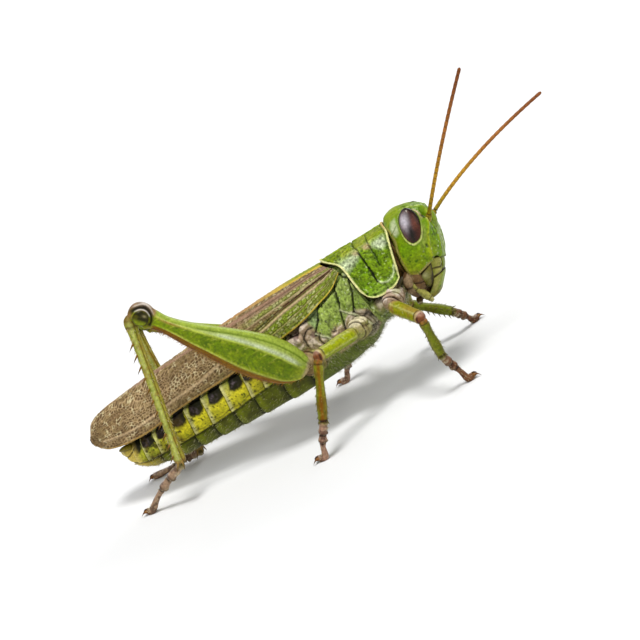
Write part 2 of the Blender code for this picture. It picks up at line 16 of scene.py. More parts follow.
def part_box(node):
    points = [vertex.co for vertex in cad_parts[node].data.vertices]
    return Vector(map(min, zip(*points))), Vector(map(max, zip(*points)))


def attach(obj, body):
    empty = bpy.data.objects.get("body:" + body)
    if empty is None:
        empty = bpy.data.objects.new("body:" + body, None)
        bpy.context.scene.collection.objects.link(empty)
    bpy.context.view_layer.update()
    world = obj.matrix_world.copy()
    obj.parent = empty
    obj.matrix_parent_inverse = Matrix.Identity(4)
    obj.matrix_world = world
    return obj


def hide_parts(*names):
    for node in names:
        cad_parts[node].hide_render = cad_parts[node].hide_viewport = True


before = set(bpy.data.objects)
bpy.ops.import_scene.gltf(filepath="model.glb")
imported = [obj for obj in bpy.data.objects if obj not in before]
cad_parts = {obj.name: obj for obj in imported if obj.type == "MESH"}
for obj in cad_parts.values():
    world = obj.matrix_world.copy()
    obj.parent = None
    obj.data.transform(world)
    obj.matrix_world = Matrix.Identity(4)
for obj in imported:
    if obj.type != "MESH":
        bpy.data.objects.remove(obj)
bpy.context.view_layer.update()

# ---------------------------------------------------------------- driving dimensions, in mm
MM = 0.001
# The trunk's nose-up pitch and the lean of its back to the left, in degrees, and its place
TRUNK_PITCH, TRUNK_LEAN = 10.0, 8.0
TRUNK_PLACE = np.array((19.76, 0.0, 8.80))
# The solid eye's centre in the trunk's frame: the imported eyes' boxes then give the frames' shift
EYE_CENTRE = (17.01, 2.10, 2.80)
# The visual eye: radii along, across and up, forward lean in degrees, centre, and how much lower
# the left one sits
EYE_RADII = (1.12, 0.86, 2.30)
EYE_LEAN = 17.6
EYE_DOME = (17.05, 2.12, 2.98)
FAR_EYE_DROP = 0.16
# Radius of a palp, and height of a foot's centre line at its toe
PALP = 0.34
SOLE = 0.34
# Rows and columns of the skins
MESH = {
    "head": (170, 300), "eye": (72, 104), "shield": (130, 300), "wing": (420, 116),
    "coxa": (76, 106), "hind_femur": (350, 158), "femur": (140, 90), "knee_ball": (50, 70),
    "hind_tibia": (250, 78), "tibia": (124, 78),
}
SIDES = (("right", -1), ("left", 1))
# The camera: bearing, height and roll in degrees, focal length and sensor in lens mm, distance in
# mm, and the standing-frame place it holds at these shares of its view, from the left and the top
AZIMUTH, ELEVATION, ROLL = 15.0, 16.0, 27.9
LENS, SENSOR, DISTANCE = 100.0, 36.0, 178.0
ANCHOR, ANCHOR_SHARE = (0.0, -4.5, 0.0), (0.2375, 0.8015625)
# The strength of the world, and of each lamp its shares along the view's right, up and back axes,
# its strength and its width in degrees
WORLD_LIGHT, WORLD_COLOUR = 0.48, (0.97, 0.98, 1.0, 1.0)
LAMPS = {
    "key_light": (-0.35, 1.0, 0.70, 2.3, 16.0),
    "front_light": (-0.55, 0.55, 1.0, 0.9, 50.0),
    "rim_light": (0.25, 0.9, -0.55, 1.0, 30.0),
    "side_light": (0.9, 0.35, 0.6, 0.45, 40.0),
}
# Unlike the rest, in metres
FLOOR_RADIUS = 12.0


def trunk_turn():
    pitch, lean = math.radians(TRUNK_PITCH), math.radians(TRUNK_LEAN)
    nose_up = ((math.cos(pitch), 0, -math.sin(pitch)), (0, 1, 0), (math.sin(pitch), 0, math.cos(pitch)))
    to_left = ((1, 0, 0), (0, math.cos(lean), math.sin(lean)), (0, -math.sin(lean), math.cos(lean)))
    return np.array(nose_up) @ np.array(to_left)


TURN = trunk_turn()


def find_shift():
    """Where the standing frame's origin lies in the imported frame, read from the two eyes."""
    middle = np.zeros(3)
    for node in ("eye_right", "eye_left"):
        low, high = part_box(node)
        middle += np.array((low + high) / 2) / 2
    here = TRUNK_PLACE + TURN @ np.array((EYE_CENTRE[0], 0.0, EYE_CENTRE[2]))
    shift = middle / MM - here
    shift[2] = 0.0
    return shift


SHIFT = find_shift()


def stand(points):
    """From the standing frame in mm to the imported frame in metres."""
    return (np.asarray(points, float) + SHIFT) * MM


def trunk(points):
    """From the trunk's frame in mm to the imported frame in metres."""
    return (np.asarray(points, float) @ TURN.T + TRUNK_PLACE + SHIFT) * MM


def trunk_to_stand(points):
    return np.asarray(points, float) @ TURN.T + TRUNK_PLACE


# Hairs still to be set: name, skin, where, how many, length, slant, colour and placing
FUZZ = []

# ---------------------------------------------------------------- numbers
# What a smooth shell reflects of the pale room, and how brightly the lamps light a surface
VEIL, EXPOSURE = 0.012, 1.25


def rgb(code):
    """Surface colour, in linear values, that comes out like the named one in the studio light."""
    c = np.array([int(code[i:i + 2], 16) for i in (0, 2, 4)]) / 255.0
    c = np.where(c <= 0.04045, c / 12.92, ((c + 0.055) / 1.055) ** 2.4)
    return np.clip(c - VEIL, 0.0006, 0.9) / EXPOSURE


def step(x, low, high):
    """0 at low and before it, 1 at high and past it, smooth between; low may be the greater."""
    t = np.clip((np.asarray(x, float) - low) / (high - low), 0.0, 1.0)
    return t * t * (3 - 2 * t)


def hump(x, centre, width):
    """1 at the centre, fading over width to both sides."""
    return np.exp(-((np.asarray(x, float) - centre) / width) ** 2)


def along(stations, x):
    """Smooth values at x through stations of (x, value) in rising order of x."""
    xs = np.array([s[0] for s in stations], float)
    ys = np.array([s[1] for s in stations], float)
    slope = np.gradient(ys, xs)
    x = np.clip(np.asarray(x, float), xs[0], xs[-1])
    i = np.clip(np.searchsorted(xs, x) - 1, 0, len(xs) - 2)
    h = xs[i + 1] - xs[i]
    t = (x - xs[i]) / h
    a, b = (1 + 2 * t) * (1 - t) ** 2, t * (1 - t) ** 2
    c, d = t * t * (3 - 2 * t), t * t * (t - 1)
    return a * ys[i] + b * h * slope[i] + c * ys[i + 1] + d * h * slope[i + 1]


def rows_at(points, t):
    """Catmull-Rom values of rows at the positions t, in units of rows."""
    points = np.asarray(points, float)
    n = len(points)
    ext = np.concatenate((2 * points[:1] - points[1:2], points, 2 * points[-1:] - points[-2:-1]))
    i = np.clip(np.floor(t).astype(int), 0, n - 2)
    f = (t - i).reshape((-1,) + (1,) * (points.ndim - 1))
    a, b, c, d = ext[i], ext[i + 1], ext[i + 2], ext[i + 3]
    return b + 0.5 * f * (c - a + f * (2 * a - 5 * b + 4 * c - d + f * (3 * (b - c) + d - a)))


def rows_through(coarse, count):
    """count even rows of a smooth skin through a few coarse ones."""
    return rows_at(np.array(coarse), np.linspace(0, len(coarse) - 1, count))


def lattice(ix, iy, iz, seed):
    """A repeatable scattered number, 0 to 1, for each whole-number place."""
    h = (ix * 374761393 + iy * 668265263 + iz * 1442695041 + seed * 1274126177) & 0xFFFFFFFF
    h = ((h ^ (h >> 13)) * 1274126177) & 0xFFFFFFFF
    return ((h ^ (h >> 16)) & 0xFFFF) / 65535.0


def noise(points, size, seed=0):
    """Smooth value noise, 0 to 1, with lumps about size across."""
    q = np.asarray(points, float) / size
    i = np.floor(q).astype(np.int64)
    f = q - i
    f = f * f * (3 - 2 * f)
    total = 0.0
    for corner in range(8):
        dx, dy, dz = corner & 1, (corner >> 1) & 1, corner >> 2
        weight = np.where(dx, f[..., 0], 1 - f[..., 0]) * np.where(dy, f[..., 1], 1 - f[..., 1])
        weight = weight * np.where(dz, f[..., 2], 1 - f[..., 2])
        total = total + weight * lattice(i[..., 0] + dx, i[..., 1] + dy, i[..., 2] + dz, seed)
    return total


def mottle(points, size, seed=0):
    """Noise of three sizes together, 0 to 1."""
    return 0.6 * noise(points, size, seed) + 0.28 * noise(points, size / 2.1, seed + 5) + \
        0.12 * noise(points, size / 4.3, seed + 9)


def cells(a, b, seed=0):
    """Cell pattern on plane coordinates: distance to the nearest border, and a number per cell."""
    ia, ib = np.floor(a).astype(np.int64), np.floor(b).astype(np.int64)
    first, second, number = np.full(a.shape, 9.0), np.full(a.shape, 9.0), np.zeros(a.shape)
    zero = np.zeros_like(ia)
    for da in (-1, 0, 1):
        for db in (-1, 0, 1):
            ca, cb = ia + da, ib + db
            pa = ca + 0.12 + 0.76 * lattice(ca, cb, zero, seed)
            pb = cb + 0.12 + 0.76 * lattice(ca, cb, zero, seed + 31)
            d = np.hypot(a - pa, b - pb)
            nearer = d < first
            second = np.where(nearer, first, np.minimum(second, d))
            number = np.where(nearer, lattice(ca, cb, zero, seed + 57), number)
            first = np.where(nearer, d, first)
    return second - first, number


def away(a, b, path):
    """Distance of each place in the plane of a and b from the line through path."""
    best = np.full(np.shape(a), 1e9)
    for (a0, b0), (a1, b1) in zip(path[:-1], path[1:]):
        da, db = a1 - a0, b1 - b0
        t = np.clip(((a - a0) * da + (b - b0) * db) / (da * da + db * db + 1e-12), 0, 1)
        best = np.minimum(best, np.hypot(a - a0 - t * da, b - b0 - t * db))
    return best


def stroke(a, b, path, width):
    """1 on a line through path in the plane of a and b, fading over width."""
    return np.exp(-(away(a, b, path) / width) ** 2)


def strokes(a, b, paths, width):
    """The strongest of several strokes."""
    return np.maximum.reduce([stroke(a, b, path, width) for path in paths])


def inside(a, b, path, soft):
    """1 inside a closed path in the plane of a and b, fading over soft at its edge."""
    path = (*path, path[0])
    odd = np.zeros(np.shape(a), bool)
    for (a0, b0), (a1, b1) in zip(path[:-1], path[1:]):
        rise = b1 - b0 if abs(b1 - b0) > 1e-9 else 1e-9
        odd ^= ((b0 > b) != (b1 > b)) & (a < a0 + (b - b0) * (a1 - a0) / rise)
    best = away(a, b, path)
    return step(np.where(odd, best, -best), -soft, soft)


def spot(a, b, centre, size):
    """1 at a centre in the plane of a and b, fading over its two sizes."""
    return np.exp(-(((a - centre[0]) / size[0]) ** 2 + ((b - centre[1]) / size[1]) ** 2))


# ---------------------------------------------------------------- skins
class Skin:
    """A grid of points in mm with paint and roughness, ready to become one mesh."""

    def __init__(self, grid, closed=True, colour="808080", rough=0.42):
        self.P = np.array(grid, float)
        self.closed = closed
        self.C = np.zeros(self.P.shape) + rgb(colour)
        self.R = np.full(self.P.shape[:2], rough)
        self.flip = 1.0
        self.N = self.normals()
        middle = self.P.mean(1, keepdims=True) if closed else self.P.reshape(-1, 3).mean(0)
        if ((self.P - middle) * self.N).sum() < 0:
            self.flip = -1.0
            self.N = -self.N

    def normals(self):
        du = np.gradient(self.P, axis=0)
        if self.closed:
            dv = np.roll(self.P, -1, 1) - np.roll(self.P, 1, 1)
        else:
            dv = np.gradient(self.P, axis=1)
        n = np.cross(du, dv)
        return self.flip * n / (np.linalg.norm(n, axis=-1, keepdims=True) + 1e-12)

    def lift(self, height):
        self.P = self.P + self.N * height[..., None]
        self.N = self.normals()

    def paint(self, colour, mask):
        mask = np.clip(mask, 0, 1)[..., None]
        self.C = self.C * (1 - mask) + rgb(colour) * mask

    def shade(self, factor):
        self.C = np.clip(self.C * factor[..., None], 0, 1)

    def gloss(self, value, mask):
        self.R = self.R * (1 - mask) + value * mask

    def fields(self):
        return self.P[..., 0], self.P[..., 1], self.P[..., 2]

    def blotch(self, size, seed, low, high):
        """Soft-edged blotches: 0 to 1 as the mottle goes from low to high."""
        return step(mottle(self.P, size, seed), low, high)

    def grit(self, size, seed, low, high, shift=0.0):
        """Small scattered marks: 0 to 1 as the noise goes from low to high."""
        return step(noise(self.P + shift, size, seed), low, high)


def grid_faces(rows, columns, closed, start=0):
    """Quads between neighbouring grid points, the columns joined into a ring when closed."""
    i = np.arange(rows - 1)[:, None] * columns
    last = columns if closed else columns - 1
    j = np.arange(last)[None, :]
    k = (j + 1) % columns
    return (np.stack((i + j, i + k, i + columns + k, i + columns + j), -1) + start).reshape(-1, 4)


class Builder:
    """Collects skins and plain triangles, then makes one mesh object of them."""

    def __init__(self, place):
        self.place = place
        self.points, self.paint, self.rough = [], [], []
        self.quads, self.triangles = [], []
        self.count = 0

    def _add(self, points, paint, rough):
        start = self.count
        self.points.append(np.asarray(points, float).reshape(-1, 3))
        self.paint.append(np.asarray(paint, float).reshape(-1, 3))
        self.rough.append(np.asarray(rough, float).reshape(-1))
        self.count += len(self.points[-1])
        return start

    def loft(self, skin, tips=(None, None)):
        """A closed section swept along rows, each end fanned to a tip."""
        rows, columns = skin.P.shape[:2]
        start = self._add(skin.P, skin.C, skin.R)
        self.quads.append(grid_faces(rows, columns, True, start))
        for row, tip in ((0, tips[0]), (rows - 1, tips[1])):
            point = skin.P[row].mean(0) if tip is None else np.asarray(tip, float)
            centre = self._add(point, skin.C[row].mean(0), [skin.R[row].mean()])
            j = np.arange(columns)
            ring = start + row * columns
            fan = (ring + j, ring + (j + 1) % columns, np.full(columns, centre))
            self.triangles.append(np.stack(fan, -1))

    def plate(self, skin, thickness, inner):
        """An open sheet given a thickness inwards, with its inner colour, closed along its rim."""
        rows, columns = skin.P.shape[:2]
        a = self._add(skin.P, skin.C, skin.R)
        b = self._add(skin.P - skin.N * thickness[..., None], np.zeros_like(skin.C) + rgb(inner), skin.R)
        top = grid_faces(rows, columns, False, a)
        self.quads.append(top)
        self.quads.append(top[:, ::-1] - a + b)
        rim = np.concatenate((np.arange(columns), np.arange(1, rows) * columns + columns - 1,
                              (rows - 1) * columns + np.arange(columns - 2, -1, -1),
                              np.arange(rows - 2, 0, -1) * columns))
        nxt = np.roll(rim, -1)
        self.quads.append(np.stack((a + nxt, a + rim, b + rim, b + nxt), -1))

    def cone(self, roots, directions, lengths, radii, colours, bend=None, sides=4, rings=2, rough=0.45):
        """Many tapering curved cones at once: spines, spurs, claws or hairs."""
        roots, directions = np.atleast_2d(roots).astype(float), np.atleast_2d(directions).astype(float)
        directions = directions / (np.linalg.norm(directions, axis=1, keepdims=True) + 1e-12)
        n = len(roots)
        lengths = np.broadcast_to(np.asarray(lengths, float), (n,))
        radii = np.broadcast_to(np.asarray(radii, float), (n,))
        bend = np.zeros((n, 3)) if bend is None else np.broadcast_to(np.asarray(bend, float), (n, 3))
        side = np.cross(directions, (0.31, 0.55, 0.77))
        side /= np.linalg.norm(side, axis=1, keepdims=True) + 1e-12
        other = np.cross(directions, side)
        root_colour, tip_colour = (rgb(c) if isinstance(c, str) else np.asarray(c) for c in colours)
        points, paint = [], []
        for k in range(rings):
            s = k / rings
            middle = roots + directions * (lengths * s)[:, None] + bend * (lengths * s * s)[:, None]
            for j in range(sides):
                angle = 2 * math.pi * j / sides
                spread = side * math.cos(angle) + other * math.sin(angle)
                points.append(middle + spread * (radii * (1 - s) ** 0.8)[:, None])
                paint.append(np.zeros((n, 3)) + root_colour * (1 - s) + tip_colour * s)
        points.append(roots + directions * lengths[:, None] + bend * lengths[:, None])
        paint.append(np.zeros((n, 3)) + tip_colour)
        points.append(roots - directions * (radii * 0.6)[:, None])
        paint.append(np.zeros((n, 3)) + root_colour)
        per = rings * sides + 2
        start = self._add(np.stack(points, 1), np.stack(paint, 1), np.full(n * per, rough))
        base = start + np.arange(n)[:, None] * per
        for k in range(rings - 1):
            for j in range(sides):
                a, b = k * sides + j, k * sides + (j + 1) % sides
                self.quads.append(np.concatenate((base + a, base + b, base + b + sides, base + a + sides), 1))
        for j in range(sides):
            a, b = (rings - 1) * sides + j, (rings - 1) * sides + (j + 1) % sides
            self.triangles.append(np.concatenate((base + a, base + b, base + rings * sides), 1))
            self.triangles.append(np.concatenate((base + (j + 1) % sides, base + j, base + per - 1), 1))

    def finish(self, name, kind, slot, *nodes):
        """One mesh object of everything collected, ridden and replacing its nodes; its slot is not used."""
        mesh = bpy.data.meshes.new(name)
        points = self.place(np.concatenate(self.points))
        quads = np.concatenate(self.quads) if self.quads else np.zeros((0, 4), int)
        triangles = np.concatenate(self.triangles) if self.triangles else np.zeros((0, 3), int)
        mesh.vertices.add(len(points))
        mesh.vertices.foreach_set("co", points.astype(np.float32).ravel())
        loops = np.concatenate((quads.ravel(), triangles.ravel()))
        mesh.loops.add(len(loops))
        mesh.loops.foreach_set("vertex_index", loops.astype(np.int32))
        total = np.concatenate((np.full(len(quads), 4), np.full(len(triangles), 3)))
        begin = np.concatenate(((0,), np.cumsum(total)[:-1]))
        mesh.polygons.add(len(total))
        mesh.polygons.foreach_set("loop_start", begin.astype(np.int32))
        mesh.update(calc_edges=True)
        mesh.validate()
        paint = mesh.attributes.new("paint", "FLOAT_COLOR", "POINT")
        colours = np.concatenate((np.concatenate(self.paint), np.ones((len(points), 1))), 1)
        paint.data.foreach_set("color", colours.astype(np.float32).ravel())
        rough = mesh.attributes.new("rough", "FLOAT", "POINT")
        rough.data.foreach_set("value", np.concatenate(self.rough).astype(np.float32))
        bm = bmesh.new()
        bm.from_mesh(mesh)
        bmesh.ops.recalc_face_normals(bm, faces=bm.faces)
        bm.to_mesh(mesh)
        bm.free()
        mesh.shade_smooth()
        mesh.materials.append(material(kind))
        obj = bpy.data.objects.new(name, mesh)
        bpy.context.scene.collection.objects.link(obj)
        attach(obj, "root")
        if nodes:
            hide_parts(*nodes)
        return obj


# ---------------------------------------------------------------- materials
class Nodes:
    """A short way to write a material's node tree."""

    def __init__(self, name):
        self.material = bpy.data.materials.new(name)
        self.material.use_nodes = True
        self.tree = self.material.node_tree
        self.shader = self.tree.nodes["Principled BSDF"]

    def node(self, kind, **values):
        made = self.tree.nodes.new(kind)
        for key, value in values.items():
            setattr(made, key, value)
        return made

    def link(self, source, target):
        self.tree.links.new(source, target)

    def attribute(self, name):
        made = self.node("ShaderNodeAttribute")
        made.attribute_name = name
        return made

    def place(self):
        return self.node("ShaderNodeTexCoord").outputs["Object"]

    def noise(self, where, size, detail=3.0, rough=0.55):
        made = self.node("ShaderNodeTexNoise")
        made.inputs["Scale"].default_value = 1.0 / (size * MM)
        made.inputs["Detail"].default_value = detail
        made.inputs["Roughness"].default_value = rough
        self.link(where, made.inputs["Vector"])
        return made.outputs["Fac"]

    def pits(self, where, size, smooth=0.3):
        made = self.node("ShaderNodeTexVoronoi", feature="SMOOTH_F1")
        made.inputs["Scale"].default_value = 1.0 / (size * MM)
        made.inputs["Smoothness"].default_value = smooth
        self.link(where, made.inputs["Vector"])
        return made.outputs["Distance"]

    def add(self, a, b):
        made = self.node("ShaderNodeMath", operation="ADD")
        self.link(a, made.inputs[0])
        self.link(b, made.inputs[1])
        return made.outputs[0]

    def range(self, value, low, high, to_low, to_high):
        made = self.node("ShaderNodeMapRange")
        for key, number in zip(("From Min", "From Max", "To Min", "To Max"), (low, high, to_low, to_high)):
            made.inputs[key].default_value = number
        self.link(value, made.inputs["Value"])
        return made.outputs["Result"]

    def mix(self, kind, amount, a, b):
        made = self.node("ShaderNodeMix", data_type="RGBA", blend_type=kind)
        for socket, value in ((made.inputs[0], amount), (made.inputs[6], a), (made.inputs[7], b)):
            if isinstance(value, (int, float)):
                socket.default_value = value
            elif isinstance(value, (tuple, np.ndarray)):
                socket.default_value = (*value[:3], 1.0)
            else:
                self.link(value, socket)
        return made.outputs[2]

    def bump(self, height, strength, distance, under=None):
        made = self.node("ShaderNodeBump")
        made.inputs["Strength"].default_value = strength
        made.inputs["Distance"].default_value = distance * MM
        self.link(height, made.inputs["Height"])
        if under is not None:
            self.link(under, made.inputs["Normal"])
        return made.outputs["Normal"]


# Pits and grain as (size, strength), colour variation, speckle, and for the eye its coat and specular
FINISHES = {
    "shell": ((0.20, 0.22), (0.06, 0.12), 0.22, 0.35),
    "shield": ((0.17, 0.75), (0.06, 0.22), 0.38, 0.45),
    "pleura": ((0.15, 0.60), (0.05, 0.22), 0.35, 0.40),
    "belly": ((0.30, 0.10), (0.08, 0.20), 0.30, 0.35),
    "wing": ((0.12, 0.20), (0.05, 0.25), 0.25, 0.0),
    "eye": ((0.055, 0.08), (0.03, 0.03), 0.25, 0.0, 0.12, 0.22),
    "limb": ((0.13, 0.18), (0.05, 0.15), 0.28, 0.25),
    "joint": ((0.20, 0.10), (0.06, 0.20), 0.30, 0.0),
    "horn": ((0.10, 0.05), (0.05, 0.10), 0.20, 0.0),
    "hair": ((0.10, 0.0), (0.05, 0.05), 0.15, 0.0),
}
MATERIALS = {}


def cuticle(name, pit, grain, vary, speck, coat=0.0, specular=0.17):
    """Painted insect shell: fine colour variation, pits and grain in the surface."""
    n = Nodes(name)
    where = n.place()
    paint, rough = n.attribute("paint"), n.attribute("rough")
    fine = n.noise(where, 0.22, 4.0)
    tint = n.range(fine, 0.3, 0.7, 1.0 - vary, 1.0 + vary)
    colour = n.mix("MULTIPLY", 1.0, paint.outputs["Color"], tint)
    if speck:
        spots = n.range(n.pits(where, 0.28, 0.1), 0.10, 0.22, speck, 0.0)
        colour = n.mix("MULTIPLY", spots, colour, (0.25, 0.22, 0.12))
    n.link(colour, n.shader.inputs["Base Color"])
    change = n.range(n.noise(where, 0.12, 2.0), 0.3, 0.7, -0.07, 0.07)
    n.link(n.add(rough.outputs["Fac"], change), n.shader.inputs["Roughness"])
    normal = n.bump(n.pits(where, pit[0]), pit[1], 0.06) if pit[1] else None
    normal = n.bump(n.noise(where, grain[0], 3.0), grain[1], 0.03, normal)
    n.link(normal, n.shader.inputs["Normal"])
    n.shader.inputs["Specular IOR Level"].default_value = specular
    n.shader.inputs["Specular Tint"].default_value = (1.0, 0.97, 0.76, 1.0)
    if coat:
        n.shader.inputs["Coat Weight"].default_value = coat
        n.shader.inputs["Coat Roughness"].default_value = 0.12
    return n.material


def material(kind):
    if kind not in MATERIALS:
        MATERIALS[kind] = cuticle(kind, *FINISHES[kind])
    return MATERIALS[kind]


# ---------------------------------------------------------------- section helpers
def blunt(angle, half_a, half_b, power):
    """Radius of a superellipse in the direction of angle."""
    a = np.abs(np.cos(angle) / half_a) ** power
    return (a + np.abs(np.sin(angle) / half_b) ** power) ** (-1.0 / power)


def turns(count):
    """Even angles round a section, in radians."""
    return 2 * np.pi * np.arange(count) / count


def reach(P, axis):
    """Distance in mm along a grid's rows or columns, from its first one."""
    d = np.linalg.norm(np.diff(P, axis=axis), axis=-1)
    pad = [(0, 0), (0, 0)]
    pad[axis] = (1, 0)
    return np.pad(np.cumsum(d, axis=axis), pad)


def piece(skin, place, name, kind, slot, *nodes):
    """A skin's own piece, closed at both ends."""
    made = Builder(place)
    made.loft(skin)
    made.finish(name, kind, slot, *nodes)


def grain(skin, size, amount, seed=0):
    """Fine light and dark speckle."""
    skin.shade(1.0 + amount * (mottle(skin.P, size, seed) - 0.5) * 2)


def punctures(skin, size, depth, mask=1.0, seed=0, dark=0.45):
    """Small pits: their bottoms are painted darker as shade, and the beads between them painted lighter as
    highlight.
    """
    lumps = noise(skin.P, size, seed)
    pit = step(lumps, 0.42, 0.16) * mask
    bead = step(lumps, 0.62, 0.86) * mask
    skin.lift(-depth * pit + 0.4 * depth * bead)
    # painted shade in the pits and painted highlight on the beads
    skin.shade(1.0 - dark * pit + 0.30 * bead)


# ---------------------------------------------------------------- head
# Head sections from crown to mouth: rear u and w, front u and w, half width
HEAD_STATIONS = (
    (15.35, 5.42, 17.20, 5.36, 0.90),
    (14.95, 5.08, 18.15, 5.02, 1.75),
    (14.72, 4.55, 18.92, 4.38, 2.32),
    (14.60, 3.75, 19.36, 3.55, 2.68),
    (14.46, 2.80, 19.42, 2.78, 2.84),
    (14.32, 1.85, 19.08, 1.88, 2.92),
    (14.14, 0.95, 18.74, 0.92, 2.92),
    (14.14, 0.05, 18.34, -0.10, 2.76),
    (14.35, -0.70, 17.95, -1.02, 2.52),
)
# Height of the head's lower rim by the turn from its front, in radians; and where its top closes
HEAD_RIM = ((0.0, -1.00), (0.35, -0.92), (0.70, -0.52), (0.95, -0.20), (1.15, -0.38), (1.50, -0.55),
            (2.00, -0.82), (2.45, -1.04), (2.75, -0.55), (3.15, -0.30))
CROWN = (16.25, 0.0, 5.58)


def face_relief(y, w):
    """How far the face falls back beside its middle, between the eyes."""
    beside = hump(np.abs(y), 1.05, 0.50)
    return 0.60 * beside * hump(w, 3.20, 1.00)


def eye_space(P):
    """Distance from the nearer eye's centre in units of its radii, and the eye's own two axes."""
    lean = math.radians(EYE_LEAN)
    du, dy, dw = P[..., 0] - EYE_DOME[0], np.abs(P[..., 1]) - EYE_DOME[1], P[..., 2] - EYE_DOME[2]
    a = du * math.cos(lean) - dw * math.sin(lean)
    c = du * math.sin(lean) + dw * math.cos(lean)
    r = np.sqrt((a / EYE_RADII[0]) ** 2 + (dy / EYE_RADII[1]) ** 2 + (c / EYE_RADII[2]) ** 2)
    return r, a, c


def head_grid(rows, columns):
    """The head capsule from its crown down to its rim, turned in at the mouth."""
    angle = turns(columns)
    coarse = []
    for rear, rear_w, front, front_w, half in HEAD_STATIONS:
        middle, depth = (rear + front) / 2, (front - rear) / 2
        power = np.where(np.cos(angle) > 0, 2.05, 3.0 if rear_w > 2.0 else 4.2)
        r = blunt(angle, depth, half, power)
        u, y = middle + r * np.cos(angle), r * np.sin(angle)
        w = rear_w + (front_w - rear_w) * (u - rear) / (front - rear)
        u = u - np.where(np.cos(angle) > 0, face_relief(y, w), 0)
        coarse.append(np.stack((u, y, w), -1))
    turn = np.abs((angle + np.pi) % (2 * np.pi) - np.pi)
    coarse[-1][:, 2] = along(HEAD_RIM, turn)
    first = np.roll(coarse[0], columns // 2, axis=0)
    tip = np.zeros_like(first) + CROWN
    coarse = np.array([first, tip] + coarse)
    t = 1 + (len(coarse) - 2) * np.linspace(0.006, 1, rows)
    P = rows_at(coarse, t)
    last, centre = P[-1], P[-1].mean(0)
    inwards = ((0.97, -0.03), (0.92, 0.05), (0.7, 0.3))
    lip = [centre + (last - centre) * k + (0, 0, lift) for k, lift in inwards]
    return np.concatenate((P, np.array(lip)))


